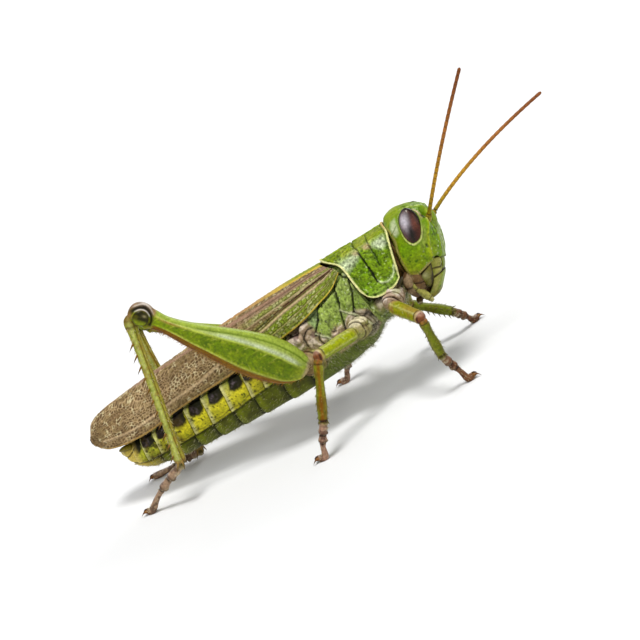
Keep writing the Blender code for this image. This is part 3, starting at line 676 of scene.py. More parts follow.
def make_head():
    head = Skin(head_grid(*MESH["head"]), colour="6f9212", rough=0.36)
    paint = head.paint
    u, y, w = head.fields()
    s = np.abs(y)
    r, a, c = eye_space(head.P)
    front = step(u, 16.6, 17.6)
    side = step(s, 1.2, 1.9)
    # ridges and grooves
    carina = ((1.72, 3.25), (2.02, 2.60), (2.34, 1.90), (2.49, 0.94), (2.46, 0.13), (2.38, -0.25))
    cheek = stroke(s, w, carina, 0.10) * front
    ridge_path = ((0.50, 4.25), (0.72, 3.40), (0.88, 2.94), (1.15, 1.75), (1.20, 0.31), (1.22, -0.75))
    ridge = stroke(s, w, ridge_path, 0.12) * front
    between = step(s, 0.95, 0.55) * front * step(w, 4.4, 3.6)
    suture = ((17.36, 1.62), (17.30, 1.45), (17.25, 1.15), (17.10, 0.70), (16.98, 0.28), (16.94, -0.30))
    groove = stroke(u, w, suture, 0.06) * side * step(w, -0.4, 0.6)
    pit = stroke(u, w, ((17.58, 1.20), (17.50, 0.98)), 0.09) * side
    temple = stroke(u, w, ((16.05, 4.22), (15.70, 3.98), (15.25, 3.72)), 0.05) * side
    brow = stroke(u, s, ((18.85, 0.25), (18.45, 0.86), (17.8, 1.22), (17.0, 1.38)), 0.12) * step(w, 4.1, 4.5)
    orbit = hump(r, 1.075, 0.035)
    moat = hump(r, 1.0, 0.030)
    clypeal = stroke(s, w, ((0.0, -0.92), (0.85, -0.84), (1.85, -0.45), (2.40, -0.12)), 0.06) * front
    socket = spot(s, w, (1.25, 3.45), (0.28, 0.50)) * front
    lift = 0.10 * cheek + 0.11 * ridge - 0.06 * between - 0.05 * groove - 0.12 * pit - 0.05 * temple
    lift += 0.10 * orbit - 0.08 * moat + 0.07 * brow - 0.30 * socket
    lift -= 0.04 * spot(s, w, (1.70, 3.55), (0.20, 0.28)) * front
    lift += 0.05 * hump(w, -0.25, 0.35) * side * step(u, 16.9, 16.2)
    lift += 0.05 * (mottle(head.P, 1.1, 21) - 0.5) * step(w, 4.6, 3.4)
    middle_line = hump(y, 0, 0.035) * step(w, 4.0, 5.0) * step(u, 18.4, 17.6)
    lift -= 0.03 * middle_line
    lift += 0.12 * step(w, 4.7, 5.4) * step(s, 1.5, 0.9)
    head.lift(lift)
    # colours
    paint("8b9a10", step(w, 2.2, 0.4) * side * 0.45)
    paint("95a230", step(w, 4.6, 5.3) * 0.65)
    paint("688a12", front * step(s, 2.0, 1.4) * 0.75)
    paint("8d9f34", between * 0.6)
    paint("a3ae2e", step(u, 15.25, 14.75) * step(w, 5.0, 4.3) * 0.55)
    paint("8f9c12", head.blotch(1.5, 33, 0.50, 0.72) * side * 0.45)
    paint("567806", head.blotch(1.1, 35, 0.58, 0.74) * side * 0.45)
    pale = inside(u, w, ((16.3, 4.85), (15.8, 4.75), (15.45, 4.30), (15.35, 3.80), (15.55, 3.40),
                         (16.0, 3.55), (16.2, 4.1)), 0.20)
    paint("c8cfa6", pale * side * (0.55 + 0.5 * mottle(head.P, 0.5, 13)))
    paint("b7b04c", stroke(u, w, ((15.9, 5.05), (15.3, 4.65)), 0.12) * side * 0.3)
    brow_zone = hump(r, 1.18, 0.09) * step(a, 0.2, 0.8) * step(c, 0.6, 1.4)
    paint("c2a084", brow_zone * 0.9)
    paint("a09a5c", hump(r, 1.18, 0.10) * step(a, 0.1, 0.9) * step(c, 0.7, 0.1) * 0.35)
    paint("4a6a0a", temple * 0.75)
    paint("d6d488", hump(r, 1.058, 0.019) * (0.35 + 0.45 * step(c, 0.6, -0.6)))
    paint("241604", moat * 0.9)
    paint("a3ac2c", cheek * 0.8)
    paint("97a838", ridge * 0.65)
    paint("b9c66a", brow * 0.5)
    paint("a4ae4e", step(s, 0.95, 0.6) * step(w, 4.9, 5.3) * head.blotch(0.6, 23, 0.4, 0.6) * 0.6)
    paint("456208", groove * 0.45)
    paint("1c2604", pit * 0.85)
    paint("4b3413", clypeal * 0.9)
    back_way = -head.N[..., 0]
    paint("4b3818", step(back_way, 0.72, 0.90) * step(w, 4.9, 4.2) * side * 0.92)
    paint("c4b468", hump(back_way, 0.66, 0.10) * step(w, 5.0, 4.0) * step(u, 16.0, 15.6) * side * 0.9)
    rim_line = along(HEAD_RIM, np.abs(np.arctan2(y, u - 16.15)))
    chin = step(w, rim_line + 0.26, rim_line + 0.08)
    paint("a39456", chin * side * step(u, 17.2, 16.6) * 0.85)
    paint("a8884a", step(w, rim_line + 0.9, rim_line + 0.3) * side * step(u, 15.8, 14.9) * 0.45)
    dots = head.grit(0.24, 3, 0.76, 0.90)
    paint("3d6003", dots * step(s, 1.0, 2.0) * step(w, 2.4, 1.6) * 0.8)
    glints = head.grit(0.20, 8, 0.76, 0.90, 7.0)
    paint("cdd8a4", glints * front * step(s, 2.3, 1.5) * step(w, 4.0, 2.8) * 0.85)
    paint("c9d39a", glints * side * step(w, 1.4, 0.6) * step(u, 16.0, 16.8) * 0.5)
    dark_socket = spot(s, w, (1.74, 3.55), (0.24, 0.32)) * front
    paint("2a1206", np.clip(dark_socket * 1.5 - 0.35, 0, 1) * 0.95)
    paint("5f4a1c", np.clip(socket * 1.2 - 0.5, 0, 1) * 0.5)
    rim = hump(np.hypot(s - 1.45, w - 3.05), 0.34, 0.10) * front
    paint("c4bc70", rim * 0.7)
    grain(head, 0.45, 0.16, 2)
    punctures(head, 0.20, 0.020, side * step(w, 3.4, 2.2), 4, 0.30)
    punctures(head, 0.24, 0.034, front * step(s, 2.3, 1.8), 6, 0.42)
    row = np.arange(head.P.shape[0])[:, None]
    lip = MESH["head"][0]
    inner = step(row, lip - 1, lip + 1) * np.ones(head.P.shape[1])
    paint("2a1c0b", inner)
    piece(head, trunk, "head_shell", "shell", "shell_green", "head")


def make_eyes():
    lean = math.radians(EYE_LEAN)
    for name, side in SIDES:
        polar = np.linspace(0.02, np.pi - 0.02, MESH["eye"][0])[:, None]
        angle = turns(MESH["eye"][1])[None, :]
        a = EYE_RADII[0] * np.sin(polar) * np.cos(angle)
        b = EYE_RADII[1] * np.sin(polar) * np.sin(angle)
        c = EYE_RADII[2] * np.cos(polar) + 0 * angle
        P = np.stack((EYE_DOME[0] + a * math.cos(lean) + c * math.sin(lean), side * EYE_DOME[1] + b,
                      EYE_DOME[2] - FAR_EYE_DROP * (side > 0) - a * math.sin(lean) + c * math.cos(lean)), -1)
        eye = Skin(P, colour="331009", rough=0.26)
        paint = eye.paint
        a, c = a / EYE_RADII[0], c / EYE_RADII[2]
        paint("6a3e2a", step(c, -0.25, -0.85) * 0.6)
        paint("6e4030", step(mottle(P, 0.35, 5), 0.50, 0.70) * 0.45)
        paint("5e2b1c", step(a, 0.2, 0.8) * step(c, 0.6, 0.0) * 0.5)
        sheen = spot(a, c, (-0.32, 0.48), (0.42, 0.36))
        paint("cfc8d0", sheen * (0.66 + 0.45 * mottle(P, 0.5, 3)))
        paint("7a4a40", spot(a, c, (0.45, 0.42), (0.22, 0.26)) * 0.6)
        paint("6a4a48", spot(a, c, (-0.55, -0.12), (0.20, 0.34)) * 0.6)
        paint("050101", spot(a, c, (0.06, -0.10), (0.19, 0.36)) * 0.97)
        paint("160604", step(np.sqrt(a ** 2 + c ** 2), 0.84, 0.98) * 0.85)
        piece(eye, trunk, "eye_dome_" + name, "eye", "eye_brown", "eye_" + name)


# ---------------------------------------------------------------- mouth
def lip_grid(stations, rows, columns):
    """A bowed lip from stations of (front, w, half width, thickness), as a closed section."""
    coarse = []
    angle = turns(columns)
    for front, w, half, thick in stations:
        r = blunt(angle, thick / 2, half, 3.2)
        back, y = r * np.cos(angle), r * np.sin(angle)
        coarse.append(np.stack((front - thick / 2 + back - 0.32 * (y / max(half, 0.1)) ** 2 * half, y,
                                np.full(columns, w)), -1))
    return rows_through(coarse, rows)


def make_mouth():
    made = Builder(trunk)
    shield = lip_grid(((17.70, -0.86, 2.20, 0.9), (17.74, -1.00, 2.20, 1.0), (17.50, -1.40, 1.96, 1.0),
                       (17.24, -1.76, 1.70, 0.85), (17.14, -1.84, 1.5, 0.5)), 60, 150)
    top = step(shield[..., 2], -1.60, -0.95)
    rise = along(((0, 0.09), (0.85, 0.20), (1.85, 0.56), (2.4, 0.88)), np.abs(shield[..., 1]))
    shield[..., 2] += top * rise
    clypeus = Skin(shield, colour="8d9138", rough=0.4)
    u, y, w = clypeus.fields()
    s = np.abs(y)
    split = stroke(s, w, ((0.98, -0.6), (0.80, -1.20), (0.90, -1.85)), 0.08) * step(u, 16.6, 16.9)
    fold = stroke(s, w, ((0.9, -1.30), (1.4, -1.38), (2.0, -1.10)), 0.08) * step(u, 16.4, 16.7)
    lumps = mottle(clypeus.P, 0.7, 2) - 0.5
    clypeus.lift(-0.12 * split - 0.11 * fold + 0.09 * hump(s, 1.35, 0.3) + 0.05 * lumps)
    clypeus.paint("7c9018", step(s, 0.9, 0.7) * 0.8)
    clypeus.paint("b3ac62", hump(s, 1.45, 0.40) * (0.35 + 0.6 * mottle(clypeus.P, 0.5, 11)))
    clypeus.paint("6f7c1c", clypeus.blotch(0.6, 12, 0.5, 0.66) * 0.6)
    clypeus.paint("352510", np.clip(split + fold, 0, 1) * 0.9)
    clypeus.paint("3a2a0e", step(w, -1.66, -1.80) * 0.9)
    clypeus.paint("4a3814", step(s, 1.9, 2.15) * 0.6)
    grain(clypeus, 0.25, 0.26, 3)
    made.loft(clypeus)
    lip = lip_grid(((17.02, -1.88, 1.40, 0.5), (17.14, -1.97, 1.64, 0.85), (16.84, -2.38, 1.62, 0.9),
                    (16.24, -2.95, 1.42, 1.15), (15.78, -3.38, 1.18, 1.20), (15.44, -3.58, 0.75, 0.80)),
                   80, 130)
    labrum = Skin(lip, colour="84961e", rough=0.4)
    u, y, w = labrum.fields()
    s = np.abs(y)
    cleft = hump(y, 0, 0.09) * step(w, -2.6, -3.3)
    labrum.lift(-0.07 * cleft + 0.04 * hump(s, 1.0, 0.4) + 0.05 * (mottle(labrum.P, 0.8, 3) - 0.5))
    labrum.paint("aaa062", step(s, 1.05, 1.40) * (0.35 + 0.6 * mottle(labrum.P, 0.4, 15)))
    labrum.paint("435c08", labrum.grit(0.3, 5, 0.60, 0.78) * step(s, 1.4, 1.1) * 0.75)
    labrum.paint("a3b060", labrum.grit(0.26, 15, 0.74, 0.88, 3) * 0.5)
    labrum.paint("3c2d10", step(w, -2.02, -1.92) * 0.9)
    labrum.paint("6b4a22", step(w, -2.9, -3.35) * 0.6)
    grain(labrum, 0.22, 0.3, 6)
    made.loft(labrum)
    made.finish("labrum_plates", "shell", "shell_green", "labrum")
    for name, side in SIDES:
        make_jaw(name, side)
    make_labium()


def block_ring(rear, front, inner, outer, w, columns, side, power):
    """A rounded rectangle at height w."""
    angle = turns(columns)
    r = blunt(angle, (front - rear) / 2, (outer - inner) / 2, power)
    u = (rear + front) / 2 + r * np.cos(angle)
    y = (inner + outer) / 2 + r * np.sin(angle)
    return np.stack((u, side * y, np.zeros(columns) + w), -1)


def make_jaw(name, side):
    blocks = ((15.20, 16.80, 0.3, 2.10, -0.72), (15.05, 16.86, 0.06, 2.38, -0.95),
              (14.98, 16.62, 0.06, 2.36, -1.30), (14.98, 16.30, 0.06, 2.12, -1.70),
              (15.02, 15.88, 0.06, 1.68, -2.25), (15.10, 15.50, 0.06, 1.15, -2.66),
              (15.16, 15.38, 0.2, 0.8, -2.76))
    coarse = [block_ring(*block, 100, side, 3.4) for block in blocks]
    # the first sections rise towards the front
    for ring, rise, rear in zip(coarse, (0.42, 0.42, 0.22), (15.2, 15.1, 15.1)):
        ring[:, 2] += rise * step(ring[:, 0], rear, 16.8)
    jaw = Skin(rows_through(coarse, 70), colour="6f6a30")
    paint = jaw.paint
    u, _, w = jaw.fields()
    edge = stroke(u, w, ((15.1, -1.0), (16.3, -0.62), (16.8, -0.45)), 0.10)
    front = stroke(u, w, ((16.82, -0.5), (16.5, -1.25), (16.0, -1.85), (15.6, -2.5)), 0.12)
    jaw.lift(0.10 * inside(u, w, ((15.3, -1.15), (16.5, -0.7), (16.3, -1.3), (15.4, -2.1)), 0.2))
    paint("8f9440", inside(u, w, ((15.3, -1.3), (16.2, -0.9), (16.1, -1.4), (15.35, -2.0)), 0.25) * 0.5)
    paint("5a5420", jaw.blotch(0.6, 3, 0.48, 0.66) * 0.6)
    paint("a9a684", hump(np.hypot(u - 15.75, w + 1.15), 0.0, 0.35) * 0.45)
    paint("2a1c0c", np.clip(edge + front, 0, 1) * 0.9)
    paint("231509", step(w, -2.2, -2.6))
    grain(jaw, 0.25, 0.30, 9)
    piece(jaw, trunk, "mandible_shell_" + name, "shell", "mouth_olive", "mandible_" + name)


# Lobes of the labium: path, radii, colour, roughness, seams, their depth, lumps as (height, seed),
# blotches as (colour, seed, low, high), seam colour and seed of the grain
LABIUM_LOBES = (
    (((14.45, 1.75, -0.10), (14.00, 1.95, -0.80), (13.80, 1.80, -1.55), (13.72, 1.45, -2.20),
      (13.70, 1.15, -2.60)), (0.45, 0.58, 0.55, 0.42, 0.20), "6a5036", 0.45, (1.7,), 0.07, (0.08, 18),
     ("a08a6a", 13, 0.42, 0.60), "1f130b", 15),
    (((14.95, 1.95, -0.55), (14.85, 2.00, -1.15), (14.62, 1.92, -1.75), (14.45, 1.72, -2.35),
      (14.38, 1.55, -2.75)), (0.55, 0.62, 0.56, 0.42, 0.22), "6e5538", 0.42, (1.4, 2.6), 0.08, (0.06, 8),
     ("8d7a5c", 3, 0.45, 0.62), "2b1a10", 5),
)


def labium_lobe(side, path, radii, colour, rough, seams, depth, lumps, blotch, seam_colour, seed):
    P, t = tube_grid(np.array(path) * (1, side, 1), radii, 48, (1, 0, 0), per=11)[:2]
    lobe = Skin(P, colour=colour, rough=rough)
    groove = sum(hump(t, seam, 0.12) for seam in seams)[:, None]
    lobe.lift(-depth * groove + lumps[0] * (mottle(P, 0.5, lumps[1]) - 0.5))
    lobe.paint(blotch[0], step(mottle(P, 0.6, blotch[1]), blotch[2], blotch[3]) * 0.7)
    lobe.paint(seam_colour, sum(hump(t, seam, 0.14) for seam in seams)[:, None] * 0.8)
    grain(lobe, 0.25, 0.3, seed)
    return lobe


def make_labium():
    blocks = ((13.75, 14.72, 0.5, -1.00), (13.55, 14.80, 1.50, -1.04), (13.44, 14.84, 1.62, -1.30),
              (13.42, 15.10, 1.62, -1.60), (13.46, 15.30, 1.50, -2.05), (13.60, 15.42, 1.25, -2.55),
              (13.78, 15.40, 0.95, -2.95), (14.05, 15.20, 0.5, -3.12))
    coarse = [block_ring(rear, front, -half, half, w, 120, 1, 3.0) for rear, front, half, w in blocks]
    labium = Skin(rows_through(coarse, 56), colour="3d2c17")
    middle = hump(labium.P[..., 1], 0, 0.08)
    labium.lift(-0.06 * middle + 0.03 * (noise(labium.P, 0.4, 4) - 0.5))
    labium.paint("7a6a4c", labium.grit(0.45, 7, 0.5, 0.85) * 0.6)
    made = Builder(trunk)
    made.loft(labium)
    for side in (-1, 1):
        for lobe in LABIUM_LOBES:
            made.loft(labium_lobe(side, *lobe))
    made.finish("labium_shell", "joint", "throat_brown", "labium")


def tube_grid(path, radii, columns, reference=(0, 0, 1), per=8):
    """A round tube along a smooth path, per rows to each step of it.

    Gives its points, its rows' positions in units of path points, its outward ways and its centre line.
    """
    path, radii = np.asarray(path, float), np.asarray(radii, float)
    t = np.linspace(0, len(path) - 1, (len(path) - 1) * per + 1)
    centre = rows_at(path, t)
    size = rows_at(radii[:, None], t)[:, 0]
    axis = np.gradient(centre, axis=0)
    axis /= np.linalg.norm(axis, axis=1, keepdims=True)
    up = np.asarray(reference, float) - axis * (axis @ np.asarray(reference, float))[:, None]
    up /= np.linalg.norm(up, axis=1, keepdims=True)
    side = np.cross(axis, up)
    angle = turns(columns)
    ring = up[:, None] * np.cos(angle)[None, :, None] + side[:, None] * np.sin(angle)[None, :, None]
    return centre[:, None] + ring * size[:, None, None], t, ring, centre


def make_palps():
    for name, side in SIDES:
        path = [(14.26, side * 1.98, -0.80), (14.30, side * 2.14, -1.55), (14.44, side * 2.10, -2.30),
                (14.64, side * 1.98, -3.05), (14.82, side * 1.86, -3.68)]
        radii = [0.80, 0.97, 1.0, 1.07, 0.55]
        palp("maxillary_palp", name, path, radii, (0.7, 1.4, 3.35), "96924c", "mouth_olive")
        path = [(13.80, side * 0.80, -2.52), (13.62, side * 0.92, -2.85), (13.50, side * 0.98, -3.15),
                (13.46, side * 0.98, -3.40)]
        palp("labial_palp", name, path, [0.84, 0.94, 0.94, 0.55], (0.95, 1.9), "4b3820", "throat_brown")


def palp(kind, name, path, radii, joints, colour, slot):
    """A segmented feeler of the mouth; joints are in units of path points."""
    P, t = tube_grid(path, np.array(radii) * PALP, 40, (1, 0, 0), per=16)[:2]
    skin = Skin(P, colour=colour, rough=0.4)
    t = t[:, None] + np.zeros(P.shape[:2])
    seam = sum(hump(t, j, 0.07) for j in joints)
    skin.lift(-0.07 * seam)
    skin.paint("2a1a0a", np.clip(seam, 0, 1) * 0.8)
    skin.paint("cfc79a", hump(t, joints[-1] + 0.45, 0.3) * 0.35)
    grain(skin, 0.2, 0.2, 5)
    piece(skin, trunk, kind + "_skin_" + name, "joint", slot, kind + "_" + name)


# ---------------------------------------------------------------- feelers
# Start, steering point and end of each feeler's curve, in the standing frame
FEELERS = {
    "right": ((37.38, -0.44, 14.60), (41.08, -2.10, 20.3), (46.95, -3.7, 27.55)),
    "left": ((37.35, 1.25, 14.45), (42.6, 3.4, 18.0), (51.7, 6.2, 20.18)),
}


def make_feelers():
    for name, (start, middle, end) in FEELERS.items():
        q = np.linspace(0, 1, 26)[:, None]
        path = (1 - q) ** 2 * np.array(start) + 2 * q * (1 - q) * np.array(middle) + q * q * np.array(end)
        _, t, ring, centre = tube_grid(path, np.ones(len(path)), 22, (0, 1, 0), per=24)
        share = t / t[-1]
        length = np.linalg.norm(np.diff(path, axis=0), axis=1).sum()
        mm = share * length
        # a taper, a thick first segment with a narrow ring after it, beads, and a rounded tip
        radius = 0.205 - 0.035 * share
        radius = radius + (0.31 - 0.205) * step(mm, 1.75, 1.15)
        radius = radius - 0.02 * hump(mm, 1.55, 0.18)
        radius = np.where(mm < 1.42, radius - 0.12 * hump(mm, 1.42, 0.10) - 0.1 * step(mm, 0.35, 0.0), radius)
        beads = 24
        phase = np.clip((mm - 2.1) / (length - 2.1), 0, 1) * beads
        ridge = np.abs(np.sin(np.pi * phase)) ** 0.45
        radius = np.where(mm > 2.1, radius * (0.82 + 0.18 * ridge), radius)
        radius = radius * np.sqrt(np.clip((1.004 - share) / 0.012, 0, 1))
        P = centre[:, None] + ring * radius[:, None, None]
        skin = Skin(P, colour="8a7a10", rough=0.45)
        paint = skin.paint
        column = np.zeros(P.shape[1])[None]
        share, mm, ridge = share[:, None] + column, mm[:, None] + column, ridge[:, None] + column
        paint("b98a2c", step(share, 0.05, 0.30))
        paint("a86c36", step(share, 0.35, 0.65))
        paint("8a5230", step(share, 0.62, 0.95))
        seam = step(ridge, 0.62, 0.25) * step(mm, 1.9, 2.3)
        paint("4a2c0c", seam * 0.75)
        paint("3a2a08", hump(mm, 1.42, 0.10) * 0.8)
        paint("c9b75a", step(mm, 1.3, 0.9) * 0.35)
        grain(skin, 0.3, 0.15, 6)
        piece(skin, stand, "feeler_" + name, "joint", "antenna_rust", "antenna_" + name)


# ---------------------------------------------------------------- neck
def make_neck():
    stations = ((15.3, 0.10, 3.90, 1.90), (14.7, -0.30, 3.95, 1.98), (14.2, -0.60, 3.90, 2.00),
                (13.7, -0.72, 3.75, 1.98), (13.2, -0.75, 3.60, 1.95))
    angle = turns(150)
    coarse = []
    for u, low, high, half in stations:
        w = (low + high) / 2 + np.cos(angle) * (high - low) / 2
        coarse.append(np.stack((np.full(150, u), half * np.sin(angle), w), -1))
    neck = Skin(rows_through(coarse, 60), colour="6a5430", rough=0.5)
    fold = np.sin(neck.P[..., 0] * 13 + 2.0 * noise(neck.P, 0.8, 2))
    neck.lift(0.05 * fold)
    # painted light and shade: the folds' crests lighter, their troughs darker
    neck.shade(1.0 + 0.35 * fold)
    neck.paint("8a7048", neck.grit(0.6, 9, 0.55, 0.85) * 0.6)
    piece(neck, trunk, "neck_skin", "joint", "throat_brown", "neck")


# ---------------------------------------------------------------- pronotum
def rim_height(u):
    """Height of the shield's lower rim."""
    return along(((10.0, 0.10), (10.6, -0.26), (11.3, -0.44), (12.2, -0.46), (13.2, -0.26), (13.9, 0.18)), u)


# The shield from its middle to its lower rim: y, share of the way down (None on top), front u, rear u
SHIELD_PROFILE = ((0.0, None, 14.62, 7.42), (1.05, None, 14.82, 7.85), (2.00, 0.0, 15.02, 8.90),
                  (2.68, 0.12, 14.95, 9.42), (3.06, 0.32, 14.72, 9.62), (3.28, 0.56, 14.42, 9.70),
                  (3.38, 0.80, 14.12, 9.84), (3.36, 1.0, 13.76, 10.15))
SHIELD_KEEL = 4.30


def shield_grid(rows, columns):
    """The saddle of the shield, rows from front to rear and columns from side to side."""
    s = np.linspace(0, 1, rows)
    half = []
    for y, v, front, rear in SHIELD_PROFILE:
        u = front + (rear - front) * s
        if v is None:
            w = along(((7.4, 5.37), (9.7, 5.25), (12.2, 5.09), (14.7, 5.03)), u) - 0.22 * (y / 1.05) ** 1.5
        else:
            keel = SHIELD_KEEL + 0.14 * np.sin(math.pi * s) + 0.08 * s
            w = keel + (rim_height(u) - keel) * v + (0.25 * s ** 8 if v == 1.0 else 0)
        pinch = 1.0 - 0.055 * (1 - s) - 0.03 * hump(s, 0.45, 0.12)
        half.append(np.stack((u, y * pinch, w), -1))
    mirror = np.array((1, -1, 1))
    full = [p * mirror for p in half[:0:-1]] + half
    return np.swapaxes(rows_through(full, columns), 0, 1)


def make_shield():
    shield = Skin(shield_grid(*MESH["shield"]), closed=False, colour="6d8c12", rough=0.42)
    paint = shield.paint
    u, y, w = shield.fields()
    s = np.abs(y)
    edge = np.minimum(reach(shield.P, 0), reach(shield.P[::-1], 0)[::-1])
    low = np.minimum(reach(shield.P, 1), reach(shield.P[:, ::-1], 1)[:, ::-1])
    edge = np.minimum(edge, low)
    top = step(w, 4.05, 4.45)
    flank = 1 - top
    keel = hump(s, 2.02, 0.16) * step(w, 3.9, 4.2)
    middle = hump(y, 0, 0.09) * top
    down_side = ((11.52, 4.45), (11.68, 3.70), (11.77, 2.90), (11.79, 1.90), (11.75, 0.90))
    over_top = ((11.05, 0.0), (11.12, 1.06), (11.56, 2.05), (11.68, 2.5))
    main = np.maximum(stroke(u, w, down_side, 0.085) * flank, stroke(u, s, over_top, 0.075) * top)
    fore = stroke(u, w, ((12.80, 4.35), (12.90, 3.60), (12.95, 2.80), (12.80, 2.10)), 0.080) * flank
    fore = np.maximum(fore, stroke(u, s, ((12.55, 0.3), (12.70, 1.30), (12.84, 2.20)), 0.06) * top * 0.8)
    third = stroke(u, w, ((13.95, 3.4), (13.85, 2.6), (13.60, 1.9)), 0.08) * flank * 0.5
    low_ridge = stroke(u, w, ((11.85, 0.95), (12.10, 0.55), (12.60, 0.40), (13.15, 0.50), (13.60, 0.80),
                              (13.95, 1.35)), 0.11) * flank
    rim = step(edge, 0.24, 0.15)
    behind_rim = hump(edge, 0.34, 0.08)
    swell = inside(u, w, ((13.9, 3.4), (13.7, 1.2), (12.6, 0.75), (12.1, 1.2), (12.9, 3.4)), 0.35) * flank
    swell2 = inside(u, w, ((12.6, 3.9), (12.7, 2.4), (12.1, 1.2), (12.0, 2.6), (11.95, 3.9)), 0.25) * flank
    lift = 0.10 * keel + 0.10 * middle - 0.14 * main - 0.12 * fore - 0.04 * third + 0.10 * low_ridge
    lift += 0.07 * rim - 0.06 * behind_rim + 0.07 * swell + 0.06 * swell2
    rear_half = step(u, 11.5, 11.0)
    shield.lift(lift)
    # colours
    paint("8a9a20", top * 0.8)
    paint("a3aa3c", shield.blotch(1.0, 41, 0.50, 0.68) * top * 0.6)
    paint("5d7a08", shield.blotch(0.8, 43, 0.56, 0.72) * top * 0.6)
    paint("587a08", flank * step(u, 13.9, 12.6) * 0.45)
    paint("8ba528", shield.blotch(0.95, 45, 0.48, 0.66) * flank * 0.40)
    paint("44620a", shield.blotch(0.75, 47, 0.56, 0.72) * flank * 0.45)
    paint("83a833", flank * step(w, 1.3, 0.2) * 0.6)
    paint("9ab458", flank * step(w, 0.5, -0.2) * 0.55)
    shine = inside(u, w, ((14.5, 4.30), (14.6, 3.45), (13.9, 3.2), (13.1, 3.9), (13.1, 4.32)), 0.28)
    paint("cdd6b4", shine * flank * (0.45 + 0.5 * mottle(shield.P, 0.35, 51)))
    shine = inside(u, w, ((11.3, 4.46), (9.0, 4.55), (9.2, 3.6), (10.0, 3.2), (11.2, 3.6),
                          (11.5, 3.95)), 0.34)
    paint("c6d2a8", shine * (0.4 + 0.6 * flank) * (0.6 + 0.5 * mottle(shield.P, 0.35, 53)))
    warm = inside(u, w, ((12.9, 4.42), (12.95, 3.85), (12.3, 4.05), (12.1, 4.4)), 0.16)
    paint("c0987a", warm * 0.75)
    warm = inside(u, w, ((11.55, 4.48), (11.65, 3.9), (11.2, 4.05), (10.8, 4.5)), 0.16)
    paint("b99a7c", warm * 0.6)
    paint("a6bd66", keel * 0.45)
    paint("c9d6a4", low_ridge * 0.85)
    paint("94a83c", middle * 0.5)
    grain(shield, 0.55, 0.24, 3)
    rough_zone = (0.35 + 0.65 * np.maximum(rear_half, flank)) * (1 - rim)
    punctures(shield, 0.24, 0.060, rough_zone, 5, 0.45)
    punctures(shield, 0.16, 0.035, rough_zone, 8, 0.38)
    flecks = shield.grit(0.17, 12, 0.80, 0.93, 3.0) * rough_zone
    paint("cfdd9c", flecks * (0.35 + 0.3 * flank))
    paint("15200a", np.clip(main * 1.15, 0, 1) * (0.55 + 0.45 * flank))
    paint("2a3a0a", np.clip(fore * 1.1, 0, 1) * 0.85)
    paint("5f7d14", hump(u, 11.0, 0.07) * hump(s, 0.9, 0.8) * top * 0.4)
    paint("e6e39c", rim * 0.95)
    paint("c98f4a", rim * step(w, 4.2, 4.9) * step(u, 14.0, 14.6) * 0.6)
    paint("2f3c0b", behind_rim * 0.45)
    shield.gloss(0.30, top * 0.6)
    made = Builder(trunk)
    made.plate(shield, 0.20 + 0.06 * rim, "55461f")
    made.finish("pronotum_shell", "shield", "shell_green", "pronotum")


# ---------------------------------------------------------------- folded forewings
# Ends of a folded wing, then its upper edge, lower edge and greatest y, each by u
WING_FRONT, WING_REAR = 7.25, -22.95
WING_TOP = ((-22.95, 3.70), (-22.4, 4.55), (-21.5, 5.06), (-20.4, 5.26), (-18.5, 5.38), (-14.0, 5.56),
            (-5.0, 5.62), (2.7, 5.56), (5.0, 5.43), (7.25, 5.22), (9.2, 4.80))
WING_LOW = ((-22.95, 3.05), (-22.5, 2.42), (-21.8, 1.88), (-20.3, 1.38), (-17.5, 1.02), (-12.0, 1.26),
            (-5.0, 1.24), (0.5, 1.42), (2.9, 1.62), (5.7, 2.23), (7.7, 2.81), (9.1, 3.75))
WING_SIDE = ((-22.95, 1.15), (-22.0, 1.60), (-20.0, 2.15), (-16.0, 2.60), (-9.0, 2.85), (0.0, 3.00),
             (5.0, 3.22), (9.2, 2.80))

WING_BASE = 9.2
# The height over which the veins' paths are laid out, from the lower edge to the upper
WING_DEPTH = 4.3


